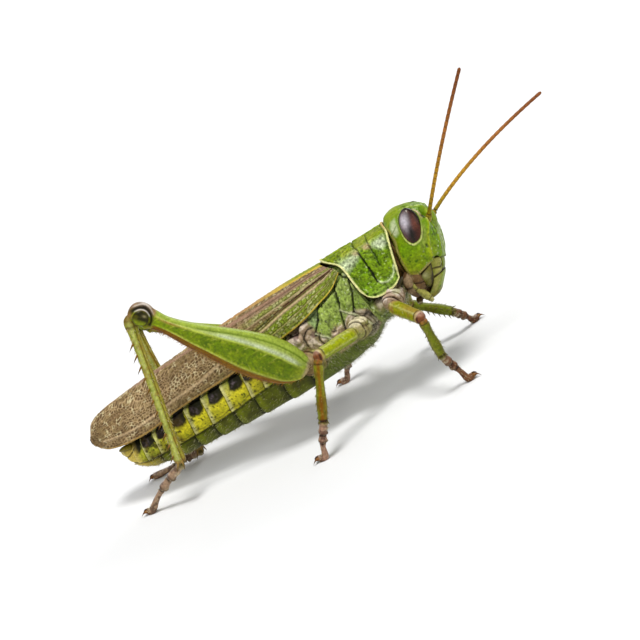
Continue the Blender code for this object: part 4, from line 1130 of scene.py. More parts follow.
def make_wing(name, side):
    rows, columns = MESH["wing"]
    s = np.linspace(0, 1, rows)
    s = (s - 0.03 * np.sin(2 * np.pi * s))[:, None]
    turn = np.linspace(0, np.pi / 2, columns)[None, :]
    # the base reaches further forward towards the lower edge
    lead = WING_FRONT + 1.75 * np.sin(turn) ** 1.5
    u = lead + (WING_REAR - lead) * s
    high, low, flank = along(WING_TOP, u), along(WING_LOW, u), along(WING_SIDE, u)
    y = 0.08 + (flank - 0.08) * np.sin(turn) ** 0.85
    w = low + (high - low) * np.abs(np.cos(turn)) ** 0.85
    wing = Skin(np.stack((u, side * y, w), -1), closed=False, colour="8a7350", rough=0.46)
    paint = wing.paint
    if (wing.N[..., 2] > 0).mean() < 0.5:
        wing.flip, wing.N = -wing.flip, -wing.N
    h = (w - low) / (high - low)
    z = h * WING_DEPTH
    rear = step(u, 0.5, -3.5)
    # veins: paths in u and z, each with a width, a height and a colour
    veins = (
        (((8.9, 2.2), (6.3, 2.03), (4.4, 2.08), (2.4, 2.06), (-0.4, 1.72), (-6, 1.50), (-9.1, 1.06),
          (-15, 0.98), (-18.4, 1.0), (-21.5, 1.2)), 0.13, 0.12, "d2b68e"),
        (((8.9, 2.75), (6.6, 2.86), (4.8, 2.80), (2.3, 2.78), (-0.3, 2.78), (-5, 2.6), (-12, 2.3),
          (-19, 2.2)), 0.075, 0.07, "b39a78"),
        (((8.6, 3.3), (6.1, 3.45), (2.0, 3.40), (-2, 3.45), (-9, 3.3), (-17, 3.1), (-21, 3.0)),
         0.07, 0.06, "a08468"),
        (((8.0, 2.45), (4.4, 2.42), (2.5, 2.40), (-0.7, 1.95), (-3, 1.80), (-6.5, 1.75)),
         0.05, 0.05, "6f5a3c"),
        (((8.9, 1.1), (7.4, 1.18), (5.4, 1.22), (3.0, 1.05), (0.4, 0.85), (-5.6, 0.62), (-11, 0.5),
          (-17, 0.62)), 0.055, 0.06, "a89a62"),
        (((8.9, 0.62), (6.5, 0.60), (3.0, 0.52), (-1, 0.45), (-6, 0.30), (-14, 0.28)), 0.045, 0.05, "8d8a48"),
        (((-6.0, 1.50), (-9.0, 1.32), (-14, 1.55), (-19.5, 1.8)), 0.05, 0.05, "b49a74"),
        (((-3.0, 2.70), (-8.0, 2.70), (-14, 2.85), (-20, 2.9)), 0.05, 0.05, "a08866"),
        (((-5.0, 3.40), (-11.0, 3.75), (-17, 3.80), (-21.4, 3.6)), 0.05, 0.05, "a08866"),
    )
    # membrane between the veins
    warp = noise(wing.P, 1.3, 3) * 0.8
    border, number = cells(u / 0.42 + warp, z / 0.22 + 0.5 * warp, 5)
    front_net = step(border, 0.22, 0.06)
    warp = noise(wing.P, 0.9, 13) * 1.6
    border, rear_number = cells(u / 0.40 + warp, z / 0.25 + 1.2 * warp, 15)
    crinkle = step(border, 0.36, 0.10)
    net = front_net * (1 - rear)
    paint("8aa032", step(z, 2.62, 2.0) * step(u, -4.0, -0.5) * 0.9)
    green = inside(u, z, ((9, 2.75), (6, 2.75), (-3, 2.75), (-3, 3.4), (2, 3.3), (6, 3.4), (9, 3.2)), 0.12)
    paint("96a24c", green * 0.75)
    paint("806a44", rear * 0.8)
    paint("77743c", rear * wing.blotch(2.2, 4, 0.48, 0.68) * step(u, -14.0, -6.0) * 0.6)
    paint("8a6c4a", rear * wing.blotch(1.8, 9, 0.50, 0.70) * 0.5)
    paint("c8b890", step(number, 0.45, 0.75) * 0.55 * (1 - rear) * (1 - net))
    paint("c6cc84", step(number, 0.55, 0.85) * (1 - rear) * step(z, 3.4, 2.8) * (1 - net) * 0.85)
    paint("66503a", (0.35 + 0.65 * step(rear_number, 0.75, 0.25)) * rear * (1 - crinkle) * 0.85)
    paint("a08a60", step(rear_number, 0.70, 0.90) * rear * (1 - crinkle) * 0.7)
    fold = noise(wing.P * np.array((0.5, 1.0, 1.0)), 0.8, 61)
    paint("c8ac80", crinkle * rear * (0.20 + 0.6 * step(fold, 0.25, 0.7)))
    paint("ded0a4", crinkle * rear * wing.grit(0.42, 63, 0.58, 0.78) * 0.75)
    wing.lift(0.060 * crinkle * rear)
    paint("3c2c12", net * 0.75)
    wing.lift(0.030 * net - 0.012)
    # dark stripe before the main vein, and the bands of the upper edge
    stripe = inside(u, z, ((9.2, 2.95), (7.5, 2.78), (5.0, 2.68), (2.0, 2.52), (-2.0, 2.15), (-4.0, 1.95),
                           (-2.0, 1.98), (2.0, 2.32), (5.0, 2.42), (7.5, 2.45), (9.2, 2.45)), 0.06)
    paint("3d130a", stripe * step(u, -1.0, 3.5) * 0.92)
    paint("2c2410", stripe * step(u, 3.5, -1.0) * 0.70)
    mauve = inside(u, z, ((9.2, 3.25), (6.3, 3.45), (1.5, 3.50), (-3.5, 3.75), (-9, 4.0), (-16, 4.2),
                          (-16, 4.32), (-6, 4.15), (1.0, 3.85), (6.0, 3.75), (9.2, 3.6)), 0.08)
    paint("a2806a", mauve * 0.85)
    gold = step(z, along(((-22, 4.5), (-10, 4.28), (-2, 4.14), (1, 4.06), (5, 3.98), (8, 3.92)), u),
                along(((-22, 4.6), (-10, 4.36), (-2, 4.22), (1, 4.14), (5, 4.06), (8, 4.02)), u))
    gold_colour = step(u, -2.0, 4.5)
    paint("bd9058", gold * step(u, -19.0, -6.0) * 0.85)
    paint("b09a6c", gold * step(u, -10.0, -20.0) * 0.6)
    paint("cdb440", gold * gold_colour * 0.9)
    paint("7f9420", gold * step(z, 4.12, 4.24) * step(u, 2.0, 5.0) * 0.8)
    for path, width, height, colour in veins:
        strong = 1 - rear * (0.75 if width < 0.1 else 0.40)
        vein = stroke(u, z, path, width) * strong
        shadow = stroke(u, z - 0.10 - width, path, 0.06) * strong
        paint("33240f", shadow * 0.55)
        paint(colour, np.clip(vein * 1.2, 0, 1) * 0.9)
        wing.lift(height * vein - 0.02 * shadow)
    lower = step(z, 0.17, 0.09)
    paint("c2a03a", lower * 0.9)
    paint("a08050", lower * rear * 0.8)
    paint("dcc44a", lower * step(u, 3.0, 6.5) * 0.8)
    paint("3d2a10", hump(z, 0.27, 0.05) * 0.5)
    wing.lift(0.05 * lower)
    edge = reach(wing.P[::-1], 0)[::-1]
    paint("bfa077", step(edge, 0.30, 0.16) * 0.8)
    wing.lift(0.04 * step(edge, 0.26, 0.14))
    grain(wing, 0.12, 0.24, 6)
    grain(wing, 0.9, 0.18, 16)
    made = Builder(trunk)
    made.plate(wing, 0.10 + 0.10 * step(s, 0.0, 0.05) * step(s, 1.0, 0.96) + 0 * turn, "5a4630")
    made.finish("forewing_veined_" + name, "wing", "wing_brown", "forewing_" + name)


# ---------------------------------------------------------------- thorax and abdomen
def folds(P, size, seed):
    """Soft wrinkled skin: winding creases, and the swellings between them."""
    field = noise(P, size, seed) * 0.7 + noise(P, size / 2.3, seed + 3) * 0.3
    away = np.abs(field - 0.5)
    return step(away, 0.055, 0.012), step(away, 0.02, 0.16)


# A half width that no flank reaches
FREE = 9.0


def tuck(u, y, w, slack=0.80):
    """Keeps a flank point inside the folded wing that covers it."""
    cover = np.clip((w - along(WING_LOW, u) + 0.85) / 0.50, 0.0, 1.0)
    limit = FREE + (along(WING_SIDE, u) - slack - FREE) * cover
    limit = np.where(cover > 0, limit, FREE)
    return np.where(u < WING_BASE, np.minimum(y, limit), y)


def trunk_rings(stations, us, columns, power):
    """Closed trunk sections at us through stations of (u, top, bottom, half width)."""
    tables = [[(s[0], s[k]) for s in stations] for k in (1, 2, 3)]
    us = np.asarray(us, float)[:, None]
    top, bottom, half = (along(t, us) for t in tables)
    angle = turns(columns)[None, :]
    r = blunt(angle, (top - bottom) / 2, half, power)
    w = (top + bottom) / 2 + r * np.cos(angle)
    y = r * np.sin(angle)
    y = np.copysign(tuck(us, np.abs(y), w), y)
    return np.stack((us + 0 * angle, y, w), -1)


def make_thorax():
    under = ((9.62, -0.10, -2.97, 3.12), (10.6, -0.36, -2.86, 3.12), (11.6, -0.56, -2.60, 2.95),
             (12.8, -0.48, -1.85, 2.45), (13.6, -0.18, -1.10, 1.75))
    main = ((0.68, 4.10, -4.66, 2.90), (2.6, 4.20, -4.64, 3.05), (4.4, 4.28, -4.58, 3.15),
            (6.2, 4.38, -4.36, 3.22), (7.8, 4.40, -4.04, 3.25), (8.8, 4.38, -3.42, 3.22),
            (9.48, 4.28, -3.00, 3.14))
    rings = [trunk_rings(part, np.linspace(part[0][0], part[-1][0], rows), 286, 2.5)
             for part, rows in ((main, 146), (under, 60))]
    rings = np.concatenate(rings)
    body = Skin(rings, colour="74893a", rough=0.50)
    paint = body.paint
    u, y, w = body.fields()
    flank = step(w, -3.4, -2.4)
    seams = (
        ((8.66, 3.44), (9.26, 2.96), (9.8, 2.6)),
        ((7.80, 3.10), (7.75, 2.86), (7.61, 2.02), (7.42, 1.25), (7.12, 0.65)),
        ((9.45, 2.60), (9.36, 2.37), (9.10, 1.44), (8.57, 0.51), (8.14, -0.26)),
        ((5.60, 2.40), (5.41, 2.15), (4.95, 1.39), (4.61, 0.85), (3.97, 0.31), (3.61, -0.17)),
        ((7.12, 0.65), (6.82, -0.10), (6.60, -0.90), (6.40, -1.64)),
    )
    dark = strokes(u, w, seams, 0.085)
    cream_paths = (
        ((7.12, 0.62), (7.51, 0.10), (7.94, -0.30), (8.30, -0.80), (8.64, -1.45), (8.79, -2.16)),
        ((3.73, -0.01), (4.11, -0.45), (4.55, -0.85), (4.76, -1.26)),
    )
    cream = strokes(u, w, cream_paths, 0.085)
    cream_shadow = strokes(u - 0.03, w + 0.16, cream_paths, 0.07)
    node = hump(np.hypot(u - 8.14, w + 0.30), 0, 0.20)
    panel = inside(u, w, ((7.6, 2.9), (7.1, 0.7), (6.5, -0.9), (4.8, -1.1), (3.9, 0.1), (5.3, 2.0)), 0.25)
    panel2 = inside(u, w, ((9.3, 2.6), (9.0, 1.3), (8.2, -0.1), (7.2, 0.5), (7.7, 2.2), (7.9, 3.2)), 0.22)
    panel3 = inside(u, w, ((9.6, 2.3), (9.3, 1.2), (8.4, -0.4), (8.9, -2.2), (10.2, -1.0), (10.2, 1.8)), 0.25)
    hollow = inside(u, w, ((3.5, 1.6), (3.6, 0.4), (2.9, -0.6), (1.6, -0.2), (1.2, 1.2), (2.2, 1.6)), 0.3)
    under = step(w, -2.3, -3.1)
    seat = spot(u, w, (8.05, -1.75), (1.05, 1.15))
    around = np.hypot(u - 8.0, (w + 1.75) / 1.05)
    seat_ring = hump(around, 1.05, 0.13)
    outer_ring = hump(around, 1.35, 0.11) * step(u, 7.6, 8.2)
    hind_seat = hump(np.hypot((u - 2.3) / 1.15, (w + 1.75) / 1.2), 1.15, 0.14)
    lumps = spot(u, w, (3.0, 0.95), (0.55, 0.5)) + 0.8 * spot(u, w, (1.9, 0.2), (0.6, 0.6))
    lumps += 0.7 * spot(u, w, (4.1, -0.9), (0.35, 0.4))
    lift = 0.10 * panel + 0.08 * panel2 + 0.08 * panel3 - 0.20 * dark
    lift = lift + 0.10 * cream - 0.10 * cream_shadow - 0.22 * node
    lift += (0.16 * lumps - 0.20 * hollow * (1 - np.clip(lumps, 0, 1)) + 0.10 * seat_ring
             + 0.07 * outer_ring + 0.10 * hind_seat)
    middle = hump(y, 0, 0.12) * under
    plates = np.maximum(hump(u, 6.1, 0.12), hump(u, 9.0, 0.12)) * under
    lift -= 0.08 * middle + 0.10 * plates
    # wrinkled soft skin between and below the plates
    soft = inside(u, w, ((4.0, 0.2), (3.6, 1.7), (0.9, 1.9), (0.7, -2.6), (3.4, -2.6), (4.4, -1.0)), 0.25)
    between = ((5.2, -0.6), (6.5, -0.5), (7.0, -1.6), (6.6, -2.8), (4.6, -2.9), (4.7, -1.6))
    soft = np.maximum(soft, inside(u, w, between, 0.25))
    soft = np.maximum(soft, step(around, 1.75, 1.45) * flank)
    soft = np.maximum(soft, step(u, 9.9, 10.6) * step(w, -2.2, -1.4))
    crevice, knob = folds(body.P, 1.55, 71)
    fine_crevice, fine_knob = folds(body.P, 0.55, 72)
    crevice = np.clip(0.9 * crevice + 0.12 * fine_crevice, 0, 1) * soft
    knob, number = (0.9 * knob + 0.1 * fine_knob) * soft, noise(body.P, 0.9, 74)
    lift += 0.22 * knob - 0.12 * crevice
    body.lift(lift)
    paint("9fb358", np.clip(panel + 0.6 * panel2, 0, 1) * 0.75)
    paint("84984a", panel3 * 0.55)
    paint("a8b46e", body.blotch(0.9, 73, 0.50, 0.68) * flank * 0.5)
    paint("5c7420", body.blotch(0.7, 75, 0.58, 0.74) * flank * 0.55)
    paint("9cb377", inside(u, w, ((5.2, 1.9), (4.6, 0.7), (3.7, 0.4), (3.9, 1.8)), 0.2) * 0.75)
    paint("7f8450", step(w, -0.2, -1.6) * 0.5)
    paint("7b8a52", seat * 0.5)
    paint("8f7a55", inside(u, w, ((5.9, -0.2), (6.6, -1.3), (5.0, -2.0), (4.6, -1.2)), 0.3) * 0.7)
    paint("5d6a24", under * 0.70)
    paint("454f16", under * body.blotch(0.9, 4, 0.45, 0.65) * 0.5)
    paint("554055", hollow * 0.5)
    paint("2b1a1c", hollow * body.grit(0.5, 7, 0.55, 0.25) * 0.8)
    paint("9a8a80", np.clip(lumps, 0, 1) * 0.75)
    paint("a08a68", soft * 0.80)
    paint("c4a890", soft * step(number, 0.50, 0.75) * 0.8)
    paint("949c58", soft * step(number, 0.45, 0.20) * 0.7)
    # painted highlight: the upward-facing tops of the soft swellings pale
    paint("ead8c4", step(knob, 0.35, 0.8) * step(body.N[..., 2], -0.15, 0.35) * 0.75)
    paint("6d5058", soft * body.blotch(0.9, 77, 0.56, 0.72) * step(u, 5.0, 4.0) * 0.6)
    paint("a39a86", np.clip(seat_ring + outer_ring, 0, 1) * 0.75)
    paint("463a22", hump(around, 0.88, 0.07) * 0.8)
    paint("3b3018", hump(around, 1.20, 0.06) * step(u, 7.6, 8.2) * 0.75)
    paint("9b9070", hind_seat * 0.6)
    paint("4f6610", step(u, 9.6, 10.2) * 0.35)
    paint("7a6a50", step(u, 9.7, 10.5) * step(w, -1.9, -0.9) * body.grit(0.5, 3, 0.4, 0.65) * 0.75)
    paint("3d2f22", step(u, 10.3, 11.0) * step(w, -1.3, -0.7) * 0.55)
    # painted shade: the creases between the soft folds near black
    paint("1e140c", crevice * 0.9)
    grain(body, 0.5, 0.26, 3)
    punctures(body, 0.24, 0.055, flank * (1 - soft), 5, 0.50)
    punctures(body, 0.14, 0.025, flank * (1 - soft), 8, 0.34)
    paint("d5dfb0", body.grit(0.18, 12, 0.76, 0.90, 5) * flank * (1 - soft) * 0.6)
    paint("131408", np.clip(dark * 1.2, 0, 1) * flank * 0.92)
    paint("0e0f07", node)
    paint("1d1a0c", np.clip(cream_shadow, 0, 1) * 0.8)
    paint("e2e4b4", np.clip(cream * 1.1, 0, 1) * 0.9)
    hairy = step(w, -1.6, -2.8) * step(u, 2.0, 3.0)
    FUZZ.append(("thorax_belly", body, hairy, 900, 0.50, (0.85, 0.35), "dcd8b4", trunk))
    hairy = step(w, -2.6, -1.5) * step(w, 3.0, 1.0)
    FUZZ.append(("thorax_side", body, hairy, 500, 0.26, (0.8, 0.35), "dfe2c0", trunk))
    piece(body, trunk, "thorax_plates", "pleura", "thorax_green", "thorax")


# Plate borders of the back and of the belly by u; sections: u, top, bottom, half width; and where
# the tip starts to round off
TERGITES = (0.95, -1.6, -3.4, -5.15, -7.75, -10.15, -12.35, -14.55, -16.65, -18.35, -19.6)
STERNITES = (0.6, -2.4, -5.7, -8.3, -10.9, -13.3, -15.6, -17.6, -19.3)
ABDOMEN = ((-21.25, 0.85, 0.10, 0.50), (-20.8, 0.92, -1.00, 1.15), (-19.9, 1.02, -1.95, 1.70),
           (-18.2, 1.30, -2.58, 2.15), (-15.5, 2.40, -3.10, 2.42), (-11.0, 3.60, -3.65, 2.60),
           (-6.0, 4.20, -4.15, 2.75), (-2.0, 4.15, -4.48, 2.85), (0.60, 4.05, -4.64, 2.90))
ABDOMEN_ROUND = -20.6


def overlap(x, borders):
    """Distances of lengthwise places x from the plate border behind and the one in front."""
    borders = np.array(sorted(borders))
    k = np.clip(np.searchsorted(borders, x), 1, len(borders) - 1)
    return x - borders[k - 1], borders[k] - x


def make_abdomen():
    # even sections, then ones that close up towards the rounded tip
    even = np.linspace(0.62, ABDOMEN_ROUND, 366)
    us = np.concatenate((even, ABDOMEN_ROUND - 0.72 * np.sin(np.linspace(0.03, 1.52, 28))))
    body = Skin(trunk_rings(ABDOMEN, us, 250, 2.15), colour="6d7a16", rough=0.44)
    paint = body.paint
    u, y, w = body.fields()
    s = np.abs(y)
    fold_w = along(((-21, -0.7), (-19.5, -1.35), (-16, -1.75), (-12.5, -1.95), (-8, -2.02),
                    (-3.9, -1.85), (1, -1.9)), u)
    above = step(w, fold_w - 0.06, fold_w + 0.06)
    slant = 0.12 * (w - 0.6) - 0.10 * np.clip(-w - 0.3, 0, 3) ** 1.5
    hind, fore = overlap(u - slant * above - 0.12 * (1 - above) * (w + 3.5), TERGITES)
    hind_s, fore_s = overlap(u - 0.25 * (w + 3.2), STERNITES)
    hind = np.where(above > 0.5, hind, hind_s)
    fore = np.where(above > 0.5, fore, fore_s)
    # each plate rises to its rear border and laps over the next
    plate = 0.10 * step(hind, 2.4, 0.05) * step(hind, -0.01, 0.05)
    fold = hump(w, fold_w, 0.12)
    body.lift(plate - 0.11 * step(fore, 0.16, 0.0) - 0.14 * fold)
    side = step(w, 1.6, 1.1) * above
    rearward = step(u, -11.0, -15.5)
    # colours of the flank
    paint("b4b63a", side * 0.85)
    paint("7f8c18", side * body.blotch(0.8, 81, 0.52, 0.70) * 0.5)
    yellow = side * step(w, 0.70, 0.0) * step(w, fold_w - 0.1, fold_w + 0.2)
    yellow = yellow * step(u, -17.5, -14.0) * step(u, -3.0, -4.6)
    yellow *= 0.80 + 0.20 * body.blotch(1.1, 3, 0.35, 0.55)
    paint("ece036", yellow * 0.97)
    paint("8d8f22", side * step(u, -2.0, -4.0) * step(w, -0.6, -1.4) * 0.5)
    cream = above * hump(hind, 0.20, 0.22) * step(w, 2.0, 1.0) * step(w, fold_w - 0.2, fold_w + 0.3)
    paint("dcd892", cream * (0.9 - 0.3 * rearward))
    paint("a9a86a", side * hump(fore, 1.9, 0.35) * step(w, -0.8, 0.0) * 0.5)
    reach_back = 1.84 - 0.28 * np.clip((w - 0.2), -1, 1)
    wobble = 0.24 * (mottle(body.P, 0.6, 7) - 0.5)
    patch = step(fore + wobble, 0.02, 0.14) * step(fore + wobble, reach_back, reach_back - 0.25)
    lower_edge = w + 1.5 * wobble - 0.12 * np.clip(fore - 1.2, -1.0, 1.0) - 0.45 * (fore - 1.0) ** 2
    patch *= step(lower_edge, -0.50, -0.14) * above * step(u, -2.6, -4.4)
    paint("0a0608", patch * 0.98)
    sheen = patch * hump(fore, 1.05, 0.40) * body.blotch(0.22, 9, 0.40, 0.80) * hump(w, 0.35, 0.45)
    paint("8a7a86", sheen * 0.6)
    paint("2c1212", patch * step(u, -9.5, -10.5) * step(fore, 0.6, 1.3) * 0.4)
    dots = body.grit(0.26, 4, 0.74, 0.86) * side * step(w, 0.1, -0.5)
    paint("2f3c0a", dots * 0.85)
    paint("4f6a08", body.blotch(0.5, 12, 0.60, 0.72) * side * step(w, -0.3, -0.8) * 0.40)
    fleck = body.grit(0.20, 83, 0.72, 0.86, 9) * side * step(w, 0.3, -0.3)
    paint("17140a", fleck * 0.85)
    spots = hump(np.hypot(hind - 0.62, w + 1.38), 0.0, 0.13) * above
    paint("0d0c05", spots)
    curve = hump(w, fold_w + 0.42 + 0.10 * np.cos(hind * 2.4), 0.055) * above * step(hind, 0.05, 0.3)
    paint("4a3c0c", curve * 0.65)
    paint("5c4a24", rearward * step(u, -19.4, -18.4) * side * body.blotch(0.9, 15, 0.45, 0.62) * 0.7)
    paint("241410", rearward * step(u, -19.6, -18.8) * side * body.grit(0.55, 17, 0.60, 0.75) * 0.8)
    # belly
    below = 1 - above
    paint("5c620c", below * 0.9)
    paint("2e3006", below * step(fore_s, 1.0, 0.1) * 0.8)
    paint("3a3608", below * body.blotch(0.8, 22, 0.50, 0.68) * 0.55)
    paint("808a18", below * hump(hind_s, 0.45, 0.3) * 0.6)
    paint("c4b04c", step(u, -17.0, -18.8) * below * 0.8)
    paint("dcc25c", step(u, -18.8, -19.8) * 0.9)
    paint("4c3a28", step(w, 1.5, 2.4) * 0.7)
    grain(body, 0.35, 0.28, 31)
    paint("d8d089", above * hump(hind, 0.085, 0.05) * step(w, 2.0, 1.0) * 0.65)
    # painted shadow: a dark strip where each plate tucks under the rear edge of the one in front
    paint("171204", step(fore, 0.13, 0.02) * 0.8)
    paint("1d1606", fold * 0.75)
    gap = stroke(u, w, ((-19.3, 0.35), (-20.4, -0.05), (-21.3, -0.1)), 0.07) * (s > 0.2)
    body.lift(-0.10 * gap)
    paint("1f1706", gap * 0.8)
    hair = noise(body.P * np.array((0.35, 1.0, 1.0)), 0.07, 41)
    body.shade(1.0 + 0.12 * (hair - 0.5) * 2)
    made = Builder(trunk)
    made.loft(body, (None, (-21.36, 0.0, 0.5)))
    hairy = step(w, fold_w + 0.3, fold_w - 0.2) * step(u, 0.0, -1.0)
    FUZZ.append(("abdomen_belly", body, hairy, 900, 0.34, (0.55, 0.8), "d8d2a0", trunk))
    made.finish("abdomen_skin", "belly", "abdomen_yellow", "abdomen_front", "abdomen_middle", "abdomen_rear")
    for name, out in SIDES:
        path = [(-19.5, out * 1.45, 0.66), (-20.2, out * 1.38, 0.86), (-20.85, out * 1.20, 0.90),
                (-21.1, out * 1.1, 0.92)]
        cercus = Skin(tube_grid(path, (0.30, 0.28, 0.18, 0.05), 36, per=14)[0], colour="7a6c20")
        grain(cercus, 0.2, 0.3, 3)
        piece(cercus, trunk, "cercus_skin_" + name, "belly", "abdomen_yellow", "cercus_" + name)


# ---------------------------------------------------------------- legs
# The two ends of each coxa in the trunk's frame, with y outwards
HIPS = {
    "fore": ((12.45, 1.75, -0.85), (11.62, 3.81, -1.66)),
    "mid": ((8.02, 1.98, -1.71), (7.41, 4.08, -1.86)),
    "hind": ((2.00, 1.76, -1.83), (1.45, 3.78, -1.86)),
    "hind_left": ((1.55, 2.00, -2.55), (0.95, 4.05, -2.75)),
}
# Joints in the standing frame; toe is the last step, level with the floor
LEGS = {
    "fore_right": {
        "knee": (34.15, -7.3, 8.50), "ankle": (34.13, -6.6, 4.25),
        "foot": ((34.40, -5.6, 2.55), (34.75, -5.1, 1.35), (35.05, -4.8, SOLE)), "toe": (0.60, 0.30),
    },
    "fore_left": {
        "knee": (30.54, 7.0, 5.96), "ankle": (33.98, 8.6, 2.77),
        "foot": ((34.55, 9.5, 1.75), (34.90, 10.1, 1.00), (35.15, 10.6, SOLE)), "toe": (0.55, 0.55),
    },
    "mid_right": {
        "knee": (23.85, -8.3, 9.36), "ankle": (21.80, -9.6, 3.75),
        "foot": ((21.24, -9.6, 2.70), (20.60, -9.5, 1.45), (20.25, -9.4, SOLE)), "toe": (-0.75, 0.05),
    },
    "mid_left": {
        "knee": (24.20, 7.8, 8.30), "ankle": (22.30, 8.8, 3.40),
        "foot": ((21.75, 8.9, 2.20), (21.15, 8.95, 1.20), (20.70, 9.0, SOLE)), "toe": (-0.80, 0.05),
    },
    "hind_right": {
        "knee": (9.80, -6.7, 19.84), "ankle": (6.20, -6.6, 4.49),
        "foot": ((3.44, -5.7, 2.75), (1.60, -5.1, 1.50), (0.30, -4.7, SOLE)), "toe": (-0.70, 0.20),
    },
    "hind_left": {
        "knee": (4.95, 6.6, 15.85), "ankle": (4.30, 4.8, 1.05),
        "foot": ((2.50, 4.7, 0.75), (0.90, 4.6, 0.50), (-0.90, 4.5, SOLE)), "toe": (-0.80, 0.0),
    },
}
# Limb sections: share of length, then dorsal, ventral and half width in mm
FEMUR_HIND = (
    (-0.02, 0.40, 0.95, 0.45), (0.01, 0.70, 1.75, 0.80), (0.05, 1.02, 2.30, 1.02), (0.10, 1.34, 2.72, 1.15),
    (0.17, 1.60, 2.93, 1.22), (0.25, 1.68, 2.98, 1.25), (0.35, 1.54, 2.90, 1.20), (0.46, 1.28, 2.55, 1.08),
    (0.58, 0.93, 2.10, 0.92), (0.70, 0.66, 1.68, 0.80), (0.78, 0.56, 1.32, 0.72), (0.85, 0.62, 1.04, 0.70),
    (0.91, 0.92, 1.04, 0.74), (0.96, 1.20, 1.12, 0.80), (1.01, 1.16, 1.04, 0.76), (1.05, 0.75, 0.65, 0.50),
)
FEMUR_WALKING = (
    (-0.04, 0.36, 0.36, 0.32), (0.06, 0.60, 0.60, 0.55), (0.30, 0.70, 0.68, 0.62),
    (0.65, 0.64, 0.62, 0.57), (0.92, 0.59, 0.57, 0.53), (1.04, 0.40, 0.40, 0.36),
)
TIBIA_HIND = (
    (-0.02, 0.40, 0.38, 0.34), (0.02, 0.62, 0.60, 0.50), (0.10, 0.54, 0.52, 0.45),
    (0.50, 0.50, 0.49, 0.43), (0.90, 0.52, 0.50, 0.45), (0.98, 0.60, 0.58, 0.50), (1.01, 0.42, 0.42, 0.36),
)
TIBIA_WALKING = (
    (-0.04, 0.30, 0.30, 0.28), (0.04, 0.48, 0.46, 0.43), (0.35, 0.43, 0.42, 0.40),
    (0.90, 0.50, 0.50, 0.46), (1.04, 0.38, 0.38, 0.34),
)


# Coxa sections: share of length, and half width as a share of its size; and its base, pale (painted
# highlight on the upward swellings), middle and low (painted shade on the downward side) colours
COXA = ((-0.05, 0.8), (0.3, 0.98), (0.6, 1.0), (0.85, 0.86), (1.08, 0.55))
COXA_COLOURS = {
    "fore": ("b59e88", "efe0d2", "c4a890", "86704a"),
    "mid": ("b3a67c", "eadfba", "c2ae82", "8f8a44"),
    "hind": ("9c8660", "cdb694", "a88c62", "6e5a32"),
}
# The swelling at a walking leg's knee, as limb sections
KNEE_BALL = ((0, 0.42, 0.42, 0.40), (0.3, 0.56, 0.55, 0.52), (0.7, 0.50, 0.49, 0.46), (1.0, 0.30, 0.30, 0.28))


class Limb:
    """A limb's skin from start to end, with its own places: share of length, angle and height."""

    def __init__(self, start, end, stations, hint, out, rows, columns, colour, power=2.0, rough=0.40):
        start, end = np.asarray(start, float), np.asarray(end, float)
        self.start, self.axis = start, end - start
        self.length = np.linalg.norm(self.axis)
        self.axis = self.axis / self.length
        up = np.asarray(hint, float)
        up = up - self.axis * (up @ self.axis)
        self.up = up / np.linalg.norm(up)
        self.side = np.cross(self.axis, self.up)
        self.sign = 1.0 if self.side[1] * out > 0 else -1.0
        first, last = stations[0][0], stations[-1][0]
        share = np.linspace(first, last, rows)
        span = (last - first) * self.length
        mm = np.linspace(0, span, rows)
        near = np.minimum(mm, span - mm)
        cap = np.sqrt(np.clip(1 - (1 - np.clip(near / 0.40, 0, 1)) ** 2, 0.0015, 1))
        dorsal, ventral, half = (along([(s[0], s[k]) for s in stations], share) * cap for k in (1, 2, 3))
        angle = turns(columns)
        high = np.where(np.cos(angle) > 0, dorsal[:, None], ventral[:, None])
        r = blunt(angle, 1.0, 1.0, power)
        a, b = high * np.cos(angle) * r, half[:, None] * np.sin(angle) * r
        centre = start + self.axis * (share * self.length)[:, None]
        P = centre[:, None] + self.up * a[..., None] + self.side * b[..., None]
        self.skin = Skin(P, colour=colour, rough=rough)
        one = np.ones(P.shape[:2])
        self.t = share[:, None] * one
        self.outer = np.sin(angle)[None] * self.sign * one
        self.turn = np.degrees(np.arctan2(np.sin(angle) * self.sign, np.cos(angle)))[None] * one
        self.high = a
        self.q = (dorsal[:, None] - a) / (dorsal + ventral)[:, None]
        self.mm = (share * self.length)[:, None] * one

    def point(self, share, turn, radius):
        """A place on the limb from its share of length, its turn from dorsal to outer, and a radius."""
        share, turn, radius = np.broadcast_arrays(share, np.radians(turn), radius)
        centre = self.start + self.axis * (share * self.length)[..., None]
        way = self.up * np.cos(turn)[..., None] + self.side * (np.sin(turn) * self.sign)[..., None]
        return centre + way * radius[..., None], way


